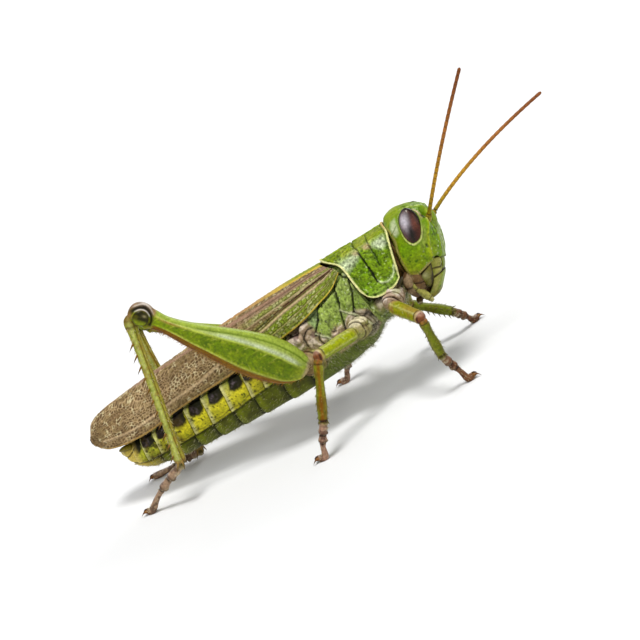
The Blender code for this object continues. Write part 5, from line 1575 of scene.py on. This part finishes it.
def paint_hind_femur(limb):
    skin, t, q, out = limb.skin, limb.t, limb.q, step(limb.outer, -0.15, 0.15)
    paint = skin.paint
    inner = 1 - out
    dorsal_q = along(((0.0, 0.12), (0.05, 0.09), (0.15, 0.08), (0.36, 0.055), (0.56, 0.06), (0.8, 0.09)), t)
    band_top = along(((0.0, 0.24), (0.05, 0.20), (0.25, 0.15), (0.46, 0.09), (0.60, 0.08), (0.9, 0.08)), t)
    band_low = along(((0.0, 0.36), (0.05, 0.33), (0.14, 0.29), (0.25, 0.26), (0.36, 0.225), (0.56, 0.20),
                      (0.77, 0.16), (0.9, 0.2)), t)
    carina = along(((0.0, 0.84), (0.05, 0.83), (0.15, 0.80), (0.30, 0.77), (0.41, 0.75), (0.53, 0.72),
                    (0.65, 0.67), (0.72, 0.62), (0.80, 0.58), (0.9, 0.6)), t)
    height = along([(s[0], s[1] + s[2]) for s in FEMUR_HIND], t)
    body = step(t, 0.93, 0.88)
    tall = lambda line, width: np.exp(-(((q - line) * height) / width) ** 2)
    groove_top, ridge_band, ridge_low = tall(dorsal_q, 0.07), tall(band_low, 0.10), tall(carina, 0.09)
    middle = (band_low + carina) / 2
    medial = step(q, band_low, band_low + 0.05) * step(q, carina, carina - 0.04)
    across = (q - middle) * height
    wave = np.abs(((limb.mm / 0.95 + np.abs(across) * 0.95 + 0.25 * noise(skin.P, 1.0, 3)) % 1.0) - 0.5)
    bone = step(wave, 0.12, 0.02) * medial * step(t, 0.10, 0.18) * step(t, 0.90, 0.80)
    bone *= step(np.abs(across), 0.08, 0.25)
    hollow = step(wave, 0.25, 0.45) * medial * step(t, 0.08, 0.18) * step(t, 0.9, 0.8)
    below = step(q, carina + 0.01, carina + 0.06)
    lift = -0.05 * groove_top * out + 0.08 * ridge_band * out + 0.11 * ridge_low
    lift = lift + 0.035 * bone - 0.030 * hollow
    lift += 0.05 * np.exp(-((limb.q * height) / 0.12) ** 2)
    lift -= 0.06 * tall(carina + 0.08, 0.12)
    skin.lift(lift * body)
    paint("9cae48", step(q, 0.14, 0.04) * 0.9)
    paint("66800a", medial * 0.85)
    paint("84990c", medial * skin.blotch(0.8, 3, 0.42, 0.62) * 0.75)
    paint("93a51c", medial * step(q, carina - 0.12, carina - 0.02) * 0.6)
    paint("547004", skin.grit(0.25, 7, 0.66, 0.82) * medial * 0.6)
    paint("a2ad34", skin.grit(0.22, 17, 0.72, 0.86, 4) * medial * 0.6)
    paint("a4b034", medial * step(t, 0.10, 0.02) * 0.6)
    tick = step(q, band_low + 0.16, band_low + 0.05) + step(q, carina - 0.15, carina - 0.05)
    paint("b4b858", bone * np.clip(tick, 0, 1) * skin.grit(0.7, 9, 0.35, 0.6) * 0.80)
    paint("7f990f", bone * 0.35)
    band = step(q, band_top - 0.02, band_top + 0.04) * step(q, band_low + 0.02, band_low - 0.04) * body * out
    paint("93a92c", band * 0.75)
    # painted highlight: a mottled whitish sheen along the upper band of the outer face
    painted_sheen_band = step(q, band_top - 0.04, band_top + 0.05) * step(q, band_low + 0.01, band_low - 0.06) * body * out
    painted_sheen_band *= step(t, 0.01, 0.10) * step(t, 0.72, 0.42)
    paint("d0d9b8", painted_sheen_band * (0.72 + 0.5 * (mottle(skin.P, 0.9, 5) - 0.5)))
    upper = step(q, dorsal_q, dorsal_q + 0.03) * step(q, band_top + 0.03, band_top)
    paint("b4c070", upper * out * body * 0.35)
    paint("c0c474", band * step(t, 0.50, 0.70) * 0.55)
    paint("44600a", groove_top * out * body * step(t, 0.75, 0.6) * 0.60)
    paint("b0bc4a", ridge_band * out * body * 0.7)
    paint("9a6b3a", ridge_band * out * hump(t, 0.82, 0.07) * 0.7)
    paint("c9cc60", ridge_low * body * step(t, 0.9, 0.75) * (0.55 + 0.2 * out))
    orange = below * body
    paint("8c600c", orange * 0.95)
    paint("8d9416", orange * step(q, carina + 0.08, carina + 0.02) * 0.5)
    rust = orange * step(q, carina + 0.08, 0.98) * step(t, 0.03, 0.15)
    paint("6e3808", rust * (0.45 + 0.55 * skin.blotch(0.7, 12, 0.4, 0.6)))
    paint("b8843c", orange * step(q, 0.90, 0.98) * 0.5)
    paint("8d9a20", inner * step(q, 0.8, 0.6) * 0.5)
    # knee: lobe at the side, dark crescent over and before it, beige cap
    x, h = (t - 0.978) * limb.length, limb.high + 0.09
    lobe = np.hypot(x / 0.86, h / 0.92)
    knee = step(t, 0.895, 0.915)
    flat = np.abs(limb.outer)
    lift = 0.12 * step(lobe, 1.0, 0.72) * flat - 0.10 * hump(lobe, 1.08, 0.10) + 0.10 * hump(lobe, 1.34, 0.10)
    skin.lift(lift * knee)
    paint("8f9420", knee * 0.7)
    paint("9c7a58", knee * step(h, 0.45, 0.85) * 0.9)
    paint("4e3220", knee * step(h, 0.9, 1.25) * skin.blotch(0.5, 18, 0.38, 0.60) * 0.8)
    paint("94684a", knee * step(x, 0.75, 1.1) * 0.8)
    front_side = step(x, 0.15, -0.5)
    crescent = hump(lobe, 1.20, 0.19) * np.maximum(step(h, 0.0, 0.5), front_side * step(h, -0.75, -0.3))
    paint("1d0e08", knee * crescent * 0.97)
    paint("cfc2b4", knee * hump(lobe, 1.42, 0.07) * step(h, 0.6, 1.0) * 0.75)
    # painted highlight: a thin pale arc between the lobe and the dark crescent, on its upper side
    paint("e0dcd2", knee * hump(lobe, 1.03, 0.06) * step(h, 0.35, 0.7) * 0.80)
    paint("4c4a12", knee * step(lobe, 0.98, 0.88))
    dusk = knee * step(lobe, 0.95, 0.8) * skin.blotch(0.55, 8, 0.45, 0.62)
    paint("23210c", dusk * step(h, -0.4, 0.2) * 0.8)
    paint("8a9a1c", knee * step(lobe, 0.85, 0.6) * step(h, 0.05, -0.35) * 0.85)
    paint("a49a6c", knee * spot(x, h, (-0.25, 0.42), (0.20, 0.12)) * 0.7)
    paint("5a4413", knee * hump(lobe, 1.02, 0.07) * step(h, 0.1, -0.3) * 0.75)
    paint("a89c40", knee * step(lobe, 1.15, 1.3) * step(h, -0.2, -0.6) * 0.7)
    paint("c8a68c", step(t, 0.02, -0.01) * 0.7)
    grain(skin, 0.16, 0.16, 5)
    grain(skin, 0.7, 0.18, 25)


def paint_hind_tibia(limb):
    skin, t, g = limb.skin, limb.t, limb.turn
    paint = skin.paint
    stripe = hump(g, 88, 24) + hump(g, -88, 24)
    groove = hump(g, 128, 9) + hump(g, -128, 9)
    skin.lift(-0.05 * groove + 0.035 * stripe + 0.04 * hump(g, 35, 10) + 0.04 * hump(g, -35, 10))
    paint("b6ac46", step(np.abs(g), 60, 25) * 0.75)
    paint("c0c76c", np.clip(stripe, 0, 1) * 0.85)
    paint("6b4a1c", np.clip(groove, 0, 1) * 0.75)
    paint("a8973a", step(np.abs(g), 140, 165) * 0.6)
    paint("c2a15a", hump(np.abs(g), 150, 8) * 0.4)
    paint("5f7c10", skin.blotch(0.5, 4, 0.58, 0.70) * 0.35)
    paint("9a6a34", skin.blotch(0.7, 14, 0.62, 0.74) * 0.4)
    paint("6f5030", step(t, 0.045, 0.0) * 0.8)
    paint("3a2412", hump(t, 0.050, 0.012) * 0.6)
    paint("8a5a34", step(t, 0.955, 0.985) * 0.7)
    grain(skin, 0.14, 0.16, 5)


def paint_walking_femur(limb, kind):
    skin, t, g = limb.skin, limb.t, limb.turn
    paint = skin.paint
    keel = hump(g, 42, 9) + hump(g, 112, 9) + hump(g, -42, 9) + hump(g, -112, 9)
    edges = 0.035 * keel * step(t, 0.02, 0.12) * step(t, 0.97, 0.88)
    skin.lift(edges + 0.10 * hump(t, 0.95, 0.035) - 0.10 * hump(t, 0.045, 0.02))
    if kind == "mid":
        paint("9aa51c", 0.9)
        paint("b5b866", step(np.abs(g), 70, 25) * 0.55)
        paint("7f8f12", step(np.abs(g), 90, 140) * 0.5)
        paint("a59a62", step(t, 0.18, 0.05) * 0.5)
    else:
        paint("929414", 0.9)
        paint("a47c46", step(np.abs(g), 80, 30) * step(t, 0.25, 0.7) * 0.55)
        paint("6f6a10", step(np.abs(g), 95, 145) * 0.6)
        paint("b58a6c", hump(t, 0.10, 0.10) * step(np.abs(g), 120, 60) * 0.6)
    paint("c6c87c", np.clip(keel, 0, 1) * 0.45)
    paint("c9cf8a", skin.grit(0.2, 37, 0.74, 0.88, 2) * 0.45)
    paint("9a6a3c", skin.blotch(1.0, 33, 0.56, 0.72) * (0.6 if kind == "fore" else 0.25))
    paint("6a7a0a", skin.grit(0.24, 7, 0.70, 0.84) * 0.5)
    paint("b08a62", step(t, 0.86, 0.95) * 0.6)
    paint("2e160a", hump(t, 0.905, 0.016) * step(np.abs(g), 150, 60) * 0.85)
    paint("5b3018", step(t, 0.955, 1.0) * step(np.abs(g), 60, 140) * 0.8)
    paint("3d2410", hump(t, 0.045, 0.02) * 0.75)
    paint("d8c6b4", hump(t, 0.965, 0.018) * step(np.abs(g), 100, 40) * 0.4)
    grain(skin, 0.16, 0.16, 5)


def paint_walking_tibia(limb, kind):
    skin, t, g = limb.skin, limb.t, limb.turn
    paint = skin.paint
    edges = 0.03 * (hump(g, 40, 12) + hump(g, -40, 12))
    skin.lift(edges + 0.06 * hump(t, 0.97, 0.03) - 0.05 * hump(t, 0.10, 0.03))
    if kind == "mid":
        paint("767c10", 0.9)
        paint("8a4e1c", hump(g, 12, 24) * 0.75)
        paint("9a9c3a", hump(g, -35, 22) * 0.5)
        paint("6a3c18", skin.blotch(0.8, 31, 0.50, 0.68) * 0.55)
    else:
        paint("68740a", 0.9)
        paint("94923a", hump(g, 50, 25) * 0.6)
        paint("5a4a14", skin.blotch(0.8, 31, 0.55, 0.70) * 0.5)
        paint("5a4a14", hump(g, -40, 25) * 0.5)
    paint("8a5232", step(t, 0.14, 0.02) * 0.8)
    paint("2c170b", hump(t, 0.085, 0.014) * 0.7)
    paint("55301a", step(t, 0.93, 0.99) * 0.8)
    paint("241208", hump(t, 0.985, 0.016) * 0.85)
    paint("4f5a08", skin.grit(0.22, 7, 0.70, 0.84) * 0.45)
    grain(skin, 0.14, 0.18, 5)


# Where a foot's first and second segments end, as shares of its length, and its base colour
FOOT_PARTS = {"hind": (0.36, 0.56, "a98b70"), "mid": (0.34, 0.52, "a8846e"), "fore": (0.34, 0.52, "7a543c")}
# The least height of a sole over the floor
SOLE_CLEAR = 0.004


def make_foot(name, joints, ankle, tibia_way):
    toe = np.array(joints["foot"][-1]) + np.array((*joints["toe"], 0.0))
    path = np.array([ankle - tibia_way * 0.25, ankle + tibia_way * 0.15, *joints["foot"], toe])
    _, _, ring, centre = tube_grid(path, np.ones(len(path)), 44, (0, 0, 1), per=28)
    run = np.concatenate(((0,), np.cumsum(np.linalg.norm(np.diff(centre, axis=0), axis=1))))
    share = run / run[-1]
    first, second, colour = FOOT_PARTS[name.split("_")[0]]
    radius = along(((0, 0.30), (0.06, 0.37), (0.20, 0.38), (first - 0.04, 0.43), (first + 0.05, 0.36),
                    (second - 0.03, 0.43), (second + 0.05, 0.29), (0.75, 0.30), (0.90, 0.38), (1.0, 0.33)),
                   share)
    neck = hump(share, first, 0.018) + hump(share, second, 0.018) + hump(share, 0.05, 0.02)
    to_end = np.clip((1 - share) * run[-1] / 0.30, 0, 1)
    radius = radius * (1 - 0.30 * neck) * np.sqrt(np.clip(1 - (1 - to_end) ** 2, 0.002, 1))
    pads = hump(share, first * 0.28, 0.030) + hump(share, first * 0.58, 0.030)
    pads = pads + hump(share, first * 0.90, 0.028) + 0.8 * hump(share, second - 0.05, 0.03)
    pads = pads[:, None] * step(-ring[..., 2], 0.1, 0.7)
    P = centre[:, None] + ring * radius[:, None, None] + ring * (0.12 * pads)[..., None]
    P[..., 2] = np.maximum(P[..., 2], SOLE_CLEAR)
    skin = Skin(P, colour=colour, rough=0.42)
    paint = skin.paint
    share = share[:, None] + np.zeros(P.shape[:2])
    # painted highlight: pale mottled patches on the upward-facing side of the foot
    paint("dccabc", step(ring[..., 2], 0.3, 0.95) * step(mottle(P, 0.6, 25), 0.30, 0.55) * 0.65)
    paint("3c2014", step(mottle(P, 0.5, 5), 0.46, 0.62) * 0.62)
    paint("c9bc9c", pads * 0.8)
    paint("140b07", np.clip(neck, 0, 1)[:, None] * np.ones(P.shape[1]) * 0.9)
    paint("3d2413", (hump(share, first - 0.045, 0.02) + hump(share, second - 0.045, 0.02)) * 0.7)
    paint("5a3a20", step(share, 0.90, 1.0) * 0.7)
    paint("6e7420", step(share, 0.0, 0.01) * step(share, 0.16, 0.05) * 0.5)
    grain(skin, 0.15, 0.25, 5)
    FUZZ.append((name + "_foot", skin, 0.5, 90, 0.26, (0.5, 0.75), "d9cda0", stand))
    piece(skin, stand, "tarsus_skin_" + name, "joint", "foot_brown", "tarsus_" + name)
    # two hooked claws and the soft pad between them
    way = toe - path[-2]
    way[2] = 0
    way /= np.linalg.norm(way)
    across = np.array((-way[1], way[0], 0.0))
    grip = Builder(stand)
    root = np.array((toe[0], toe[1], 0.40)) - way * 0.12
    for s in (-1, 1):
        start = root + across * 0.17 * s
        rising = way * 0.80 + across * 0.70 * s + np.array((0, 0, 0.60))
        falling = way * 0.10 + np.array((0, 0, -0.90)) - across * 0.15 * s
        grip.cone([start], [rising], 0.86, 0.18, ("8f6238", "3a1c0c"), falling, sides=10, rings=8, rough=0.25)
    pad_path = [root, root + way * 0.22, root + way * 0.42]
    P = tube_grid(pad_path, (0.20, 0.24, 0.10), 26, (0, 0, 1), per=10)[0]
    P[..., 2] = np.maximum(P[..., 2], 0.02)
    grip.loft(Skin(P, colour="3a2416", rough=0.5))
    grip.finish("claws_" + name, "horn", "foot_brown")


def make_coxa(name, inner, hip, out):
    """The leg's short first segment, with wrinkled skin and a collar before the femur."""
    kind = name.split("_")[0]
    size = 1.35 if kind == "hind" else 0.95
    shape = [(share, *([size * part] * 3)) for share, part in COXA]
    colour, pale, mid_tone, painted_shade_tone = COXA_COLOURS[kind]
    coxa = Limb(inner, hip, shape, (0, 0, 1), out, *MESH["coxa"], colour, 2.2)
    skin, t = coxa.skin, coxa.t
    paint = skin.paint
    crease, knob = folds(skin.P, 1.7 * size, 35)
    fine_crease, fine_knob = folds(skin.P, 0.6 * size, 36)
    ring = hump(t, 0.62 + 0.10 * (noise(skin.P, 1.2, 37) - 0.5), 0.025)
    crease = np.clip(0.9 * crease + 0.15 * fine_crease + ring, 0, 1)
    knob, number = 0.85 * knob + 0.15 * fine_knob, noise(skin.P, 0.9, 38)
    collar = hump(t, 0.84, 0.035)
    bare = step(t, 0.95, 0.80)
    skin.lift((0.16 * knob - 0.09 * crease) * size * bare - 0.12 * collar + 0.06 * hump(t, 0.92, 0.04))
    above = step(skin.N[..., 2], -0.1, 0.6)
    paint(mid_tone, step(number, 0.3, 0.6) * 0.8)
    # painted shade: the downward-facing side takes the low colour
    paint(painted_shade_tone, (1 - above) * 0.65)
    # painted highlight: the upward-facing swellings take the pale colour
    paint(pale, step(knob, 0.3, 0.8) * above * 0.85)
    paint("8f9a4a", step(number, 0.35, 0.15) * 0.5)
    # painted shade: the creases dark
    paint("4a3120", crease * bare * 0.75)
    paint("2a1409", collar * 0.85)
    grain(skin, 0.25, 0.30, 8)
    FUZZ.append((name + "_coxa", skin, 0.5, 60, 0.30, (0.6, 0.5), "d9cfa8", stand))
    piece(skin, stand, "coxa_skin_" + name, "joint", "coxa_mauve", "coxa_" + name)


def knee_ball(femur, knee, hint, out):
    """The brown swelling at a walking leg's knee."""
    ball = Limb(knee - femur.axis * 0.62, knee + femur.axis * 0.40, KNEE_BALL, hint, out,
                *MESH["knee_ball"], "7a4a30")
    skin, t = ball.skin, ball.t
    cheek = step(np.abs(ball.turn), 35, 80)
    skin.lift(-0.10 * hump(t, 0.12, 0.09) + 0.05 * hump(t, 0.55, 0.2) * cheek)
    skin.paint("a8806a", step(ball.high, 0.15, 0.45) * step(t, 0.1, 0.3) * 0.8)
    skin.paint("32160c", hump(t, 0.10, 0.10) * 0.85)
    skin.paint("2a120a", hump(t, 0.62, 0.07) * cheek * 0.8)
    skin.paint("d4bcae", hump(t, 0.42, 0.12) * step(ball.high, 0.2, 0.5) * 0.55)
    grain(skin, 0.2, 0.35, 7)
    return skin


def make_femur(name, hip, knee, out):
    made = Builder(stand)
    kind = name.split("_")[0]
    if kind == "hind":
        femur = Limb(hip, knee, FEMUR_HIND, (0.75, 0.0, 0.66), out, *MESH["hind_femur"], "7f9410", 2.0, 0.34)
        paint_hind_femur(femur)
        made.loft(femur.skin)
        count, length, colour = 300, 0.40, "c99a4a"
    else:
        hint = (0, -0.2 * out, 1.0)
        femur = Limb(hip, knee, FEMUR_WALKING, hint, out, *MESH["femur"], "8b9216", 2.1)
        paint_walking_femur(femur, kind)
        made.loft(femur.skin)
        made.loft(knee_ball(femur, knee, hint, out))
        count, length, colour = 90, 0.30, "cfc48a"
    made.finish("femur_skin_" + name, "limb", "leg_green", "femur_" + name)
    hairy = step(femur.q, 0.90, 0.97) * step(femur.t, 0.93, 0.9)
    FUZZ.append((name + "_femur", femur.skin, hairy, count, length, (0.75, 0.35), colour, stand))


def make_hind_tibia(made, knee, ankle, out):
    """A hind shin with two rows of spines and four spurs at its end."""
    top = knee + np.array((-0.95, 0.0, -0.05))
    tibia = Limb(top, ankle, TIBIA_HIND, (-1, 0, 0.2), out, *MESH["hind_tibia"], "a2a03a", 2.2)
    paint_hind_tibia(tibia)
    made.loft(tibia.skin)
    count = 11
    shares = np.linspace(0.16, 0.94, count)
    for turn, shift in ((42, 0.0), (-42, 0.4)):
        roots, ways = tibia.point(shares + shift / count * 0.9, turn, 0.50)
        made.cone(roots, ways * 0.80 + tibia.axis * 0.62, 0.82, 0.115, ("8f6a34", "2a130a"),
                  tibia.axis * 0.12, sides=8, rings=5, rough=0.3)
    roots, ways = tibia.point(0.985, (70, -70, 125, -125), 0.42)
    made.cone(roots, ways * 0.55 + tibia.axis, (1.15, 1.15, 0.95, 0.95), 0.13, ("a88a4a", "2a130a"),
              tibia.up * 0.15, sides=8, rings=5, rough=0.3)
    return tibia


def make_walking_tibia(made, knee, ankle, out, kind):
    """A walking leg's shin with two short rows of spines and four at its end."""
    top = knee + np.array((0, 0, -0.15))
    tibia = Limb(top, ankle, TIBIA_WALKING, (0.3, out, 0), out, *MESH["tibia"], "a2a03a", 2.2)
    paint_walking_tibia(tibia, kind)
    made.loft(tibia.skin)
    colours = ("8a8440", "2a130a")
    for turn in (140, -140):
        roots, ways = tibia.point(np.linspace(0.45, 0.93, 5), turn, 0.46)
        made.cone(roots, ways * 0.8 + tibia.axis * 0.7, 0.52, 0.075, colours, sides=7, rings=4, rough=0.3)
    roots, ways = tibia.point(0.98, (60, -60, 130, -130), 0.36)
    made.cone(roots, ways * 0.6 + tibia.axis, 0.55, 0.085, colours, sides=7, rings=4, rough=0.3)
    return tibia


def make_leg(name):
    joints = LEGS[name]
    kind = name.split("_")[0]
    out = -1 if name.endswith("right") else 1
    inner, hip = (trunk_to_stand((u, out * y, w)) for u, y, w in HIPS.get(name, HIPS[kind]))
    knee, ankle = np.array(joints["knee"]), np.array(joints["ankle"])
    make_coxa(name, inner, hip, out)
    make_femur(name, hip, knee, out)
    made = Builder(stand)
    if kind == "hind":
        tibia = make_hind_tibia(made, knee, ankle, out)
        count, length, colour = 260, 0.42, "e0d2a2"
    else:
        tibia = make_walking_tibia(made, knee, ankle, out, kind)
        count, length, colour = 110, 0.32, "a8a060"
    made.finish("tibia_skin_" + name, "limb", "tibia_olive", "tibia_" + name)
    hairy = step(tibia.t, 0.04, 0.08)
    FUZZ.append((name + "_tibia", tibia.skin, hairy, count, length, (0.6, 0.75), colour, stand))
    make_foot(name, joints, ankle, tibia.axis)


# ---------------------------------------------------------------- hair
HAIR_RADIUS, HAIR_SIDES, HAIR_RINGS = 0.020, 3, 2
# The least height of a standing-frame hair's root and tip over the floor
HAIR_CLEAR = 0.03


def make_fuzz(name, skin, mask, count, length, slant, colour, place, slot, seed):
    """Fine tapered hairs rooted on a skin, leaning along it. slant is (outward, backward)."""
    draw = np.random.default_rng(seed)
    rows, columns = skin.P.shape[:2]
    weight = np.clip(np.broadcast_to(mask, (rows, columns)) * 1.0, 0, 1).ravel()
    pick = draw.choice(rows * columns, count, p=weight / weight.sum(), replace=False)
    root, out = skin.P.reshape(-1, 3)[pick], skin.N.reshape(-1, 3)[pick]
    lengthwise = np.gradient(skin.P, axis=0).reshape(-1, 3)[pick]
    lengthwise /= np.linalg.norm(lengthwise, axis=1, keepdims=True) + 1e-9
    way = out * slant[0] + lengthwise * slant[1] + draw.normal(0, 0.16, (count, 3))
    size = length * draw.uniform(0.55, 1.15, count)
    tip = root[:, 2] + way[:, 2] / np.linalg.norm(way, axis=1) * size
    if place is stand:
        keep = (tip > HAIR_CLEAR) & (root[:, 2] > HAIR_CLEAR)
        root, way, size, pick = root[keep], way[keep], size[keep], pick[keep]
    made = Builder(place)
    pale = rgb(colour)
    made.cone(root, way, size, HAIR_RADIUS, (pale * 0.8, pale), None, HAIR_SIDES, HAIR_RINGS, 0.5)
    obj = made.finish(name, "hair", slot)
    give_patches(obj, pick, rows, columns, HAIR_SIDES * HAIR_RINGS + 2)


def give_patches(obj, pick, rows, columns, per):
    """UV map OFBake: each hair, of per points, is one small patch at its root's place on the skin."""
    layer = obj.data.uv_layers.new(name="OFBake")
    index = np.zeros(len(obj.data.loops), np.int32)
    obj.data.loops.foreach_get("vertex_index", index)
    hair, corner = index // per, index % per
    u = 0.01 + 0.98 * (pick[hair] % columns) / columns
    v = 0.01 + 0.98 * (pick[hair] // columns) / rows
    turn = corner * 2.4
    uv = np.stack((u + 0.0015 * np.cos(turn), v + 0.0015 * np.sin(turn)), -1)
    layer.data.foreach_set("uv", uv.astype(np.float32).ravel())


# ---------------------------------------------------------------- floor, light and camera
def view_axes():
    """The view's right, up and back axes in the standing frame."""
    a, e, r = (math.radians(v) for v in (AZIMUTH, ELEVATION, ROLL))
    back = np.array((math.sin(a) * math.cos(e), -math.cos(a) * math.cos(e), math.sin(e)))
    level = np.array((math.cos(a), math.sin(a), 0.0))
    rise = np.cross(back, level)
    return level * math.cos(r) - rise * math.sin(r), level * math.sin(r) + rise * math.cos(r), back


def make_camera():
    right, up, back = view_axes()
    across, down = ((share - 0.5) * SENSOR / LENS for share in ANCHOR_SHARE)
    ray = right * across - up * down - back
    place = (np.array(ANCHOR) - ray * DISTANCE + SHIFT) * MM
    camera = bpy.data.objects.new("studio_camera", bpy.data.cameras.new("studio_camera"))
    camera.data.lens = LENS
    camera.data.clip_start, camera.data.clip_end = 0.005, 60.0
    matrix = np.eye(4)
    matrix[:3, 0], matrix[:3, 1], matrix[:3, 2], matrix[:3, 3] = right, up, back, place
    camera.matrix_world = Matrix(matrix.tolist())
    bpy.context.scene.collection.objects.link(camera)
    bpy.context.scene.camera = camera


def make_sun(name, way, energy, angle):
    """A lamp shining from the direction of way."""
    sun = bpy.data.objects.new(name, bpy.data.lights.new(name, "SUN"))
    sun.data.energy, sun.data.angle = energy, math.radians(angle)
    sun.rotation_euler = Vector(way).to_track_quat("Z", "Y").to_euler()
    bpy.context.scene.collection.objects.link(sun)


def make_stage():
    mesh = bpy.data.meshes.new("studio_floor")
    bm = bmesh.new()
    bmesh.ops.create_circle(bm, cap_ends=True, radius=FLOOR_RADIUS, segments=96)
    bm.to_mesh(mesh)
    bm.free()
    floor = bpy.data.objects.new("studio_floor", mesh)
    bpy.context.scene.collection.objects.link(floor)
    n = Nodes("pale_floor")
    colour = n.mix("MIX", n.noise(n.place(), 40.0, 2.0), rgb("f6f6f4"), rgb("fafaf9"))
    n.link(colour, n.shader.inputs["Base Color"])
    n.shader.inputs["Roughness"].default_value = 0.9
    n.shader.inputs["Specular IOR Level"].default_value = 0.1
    mesh.materials.append(n.material)
    world = bpy.data.worlds.new("studio_world")
    world.use_nodes = True
    sky = world.node_tree.nodes["Background"]
    sky.inputs["Color"].default_value = WORLD_COLOUR
    sky.inputs["Strength"].default_value = WORLD_LIGHT
    bpy.context.scene.world = world
    bpy.context.scene.view_settings.view_transform = "Standard"
    right, up, back = view_axes()
    for name, (on_right, on_up, on_back, strength, width) in LAMPS.items():
        make_sun(name, right * on_right + up * on_up + back * on_back, strength, width)


# ---------------------------------------------------------------- assembly
make_camera()
make_stage()
make_head()
make_eyes()
make_mouth()
make_palps()
make_feelers()
make_neck()
make_shield()
make_thorax()
make_abdomen()
for wing_name, wing_side in SIDES:
    make_wing(wing_name, wing_side)
for leg_name in LEGS:
    make_leg(leg_name)
FIRST_SEED = 100
HAIR_SLOTS = {"foot": "foot_brown", "coxa": "coxa_mauve", "femur": "leg_green", "tibia": "tibia_olive",
              "belly": "thorax_green", "side": "thorax_green"}
for number, (name, *row) in enumerate(FUZZ):
    make_fuzz("hairs_" + name, *row, HAIR_SLOTS[name.split("_")[-1]], FIRST_SEED + number)
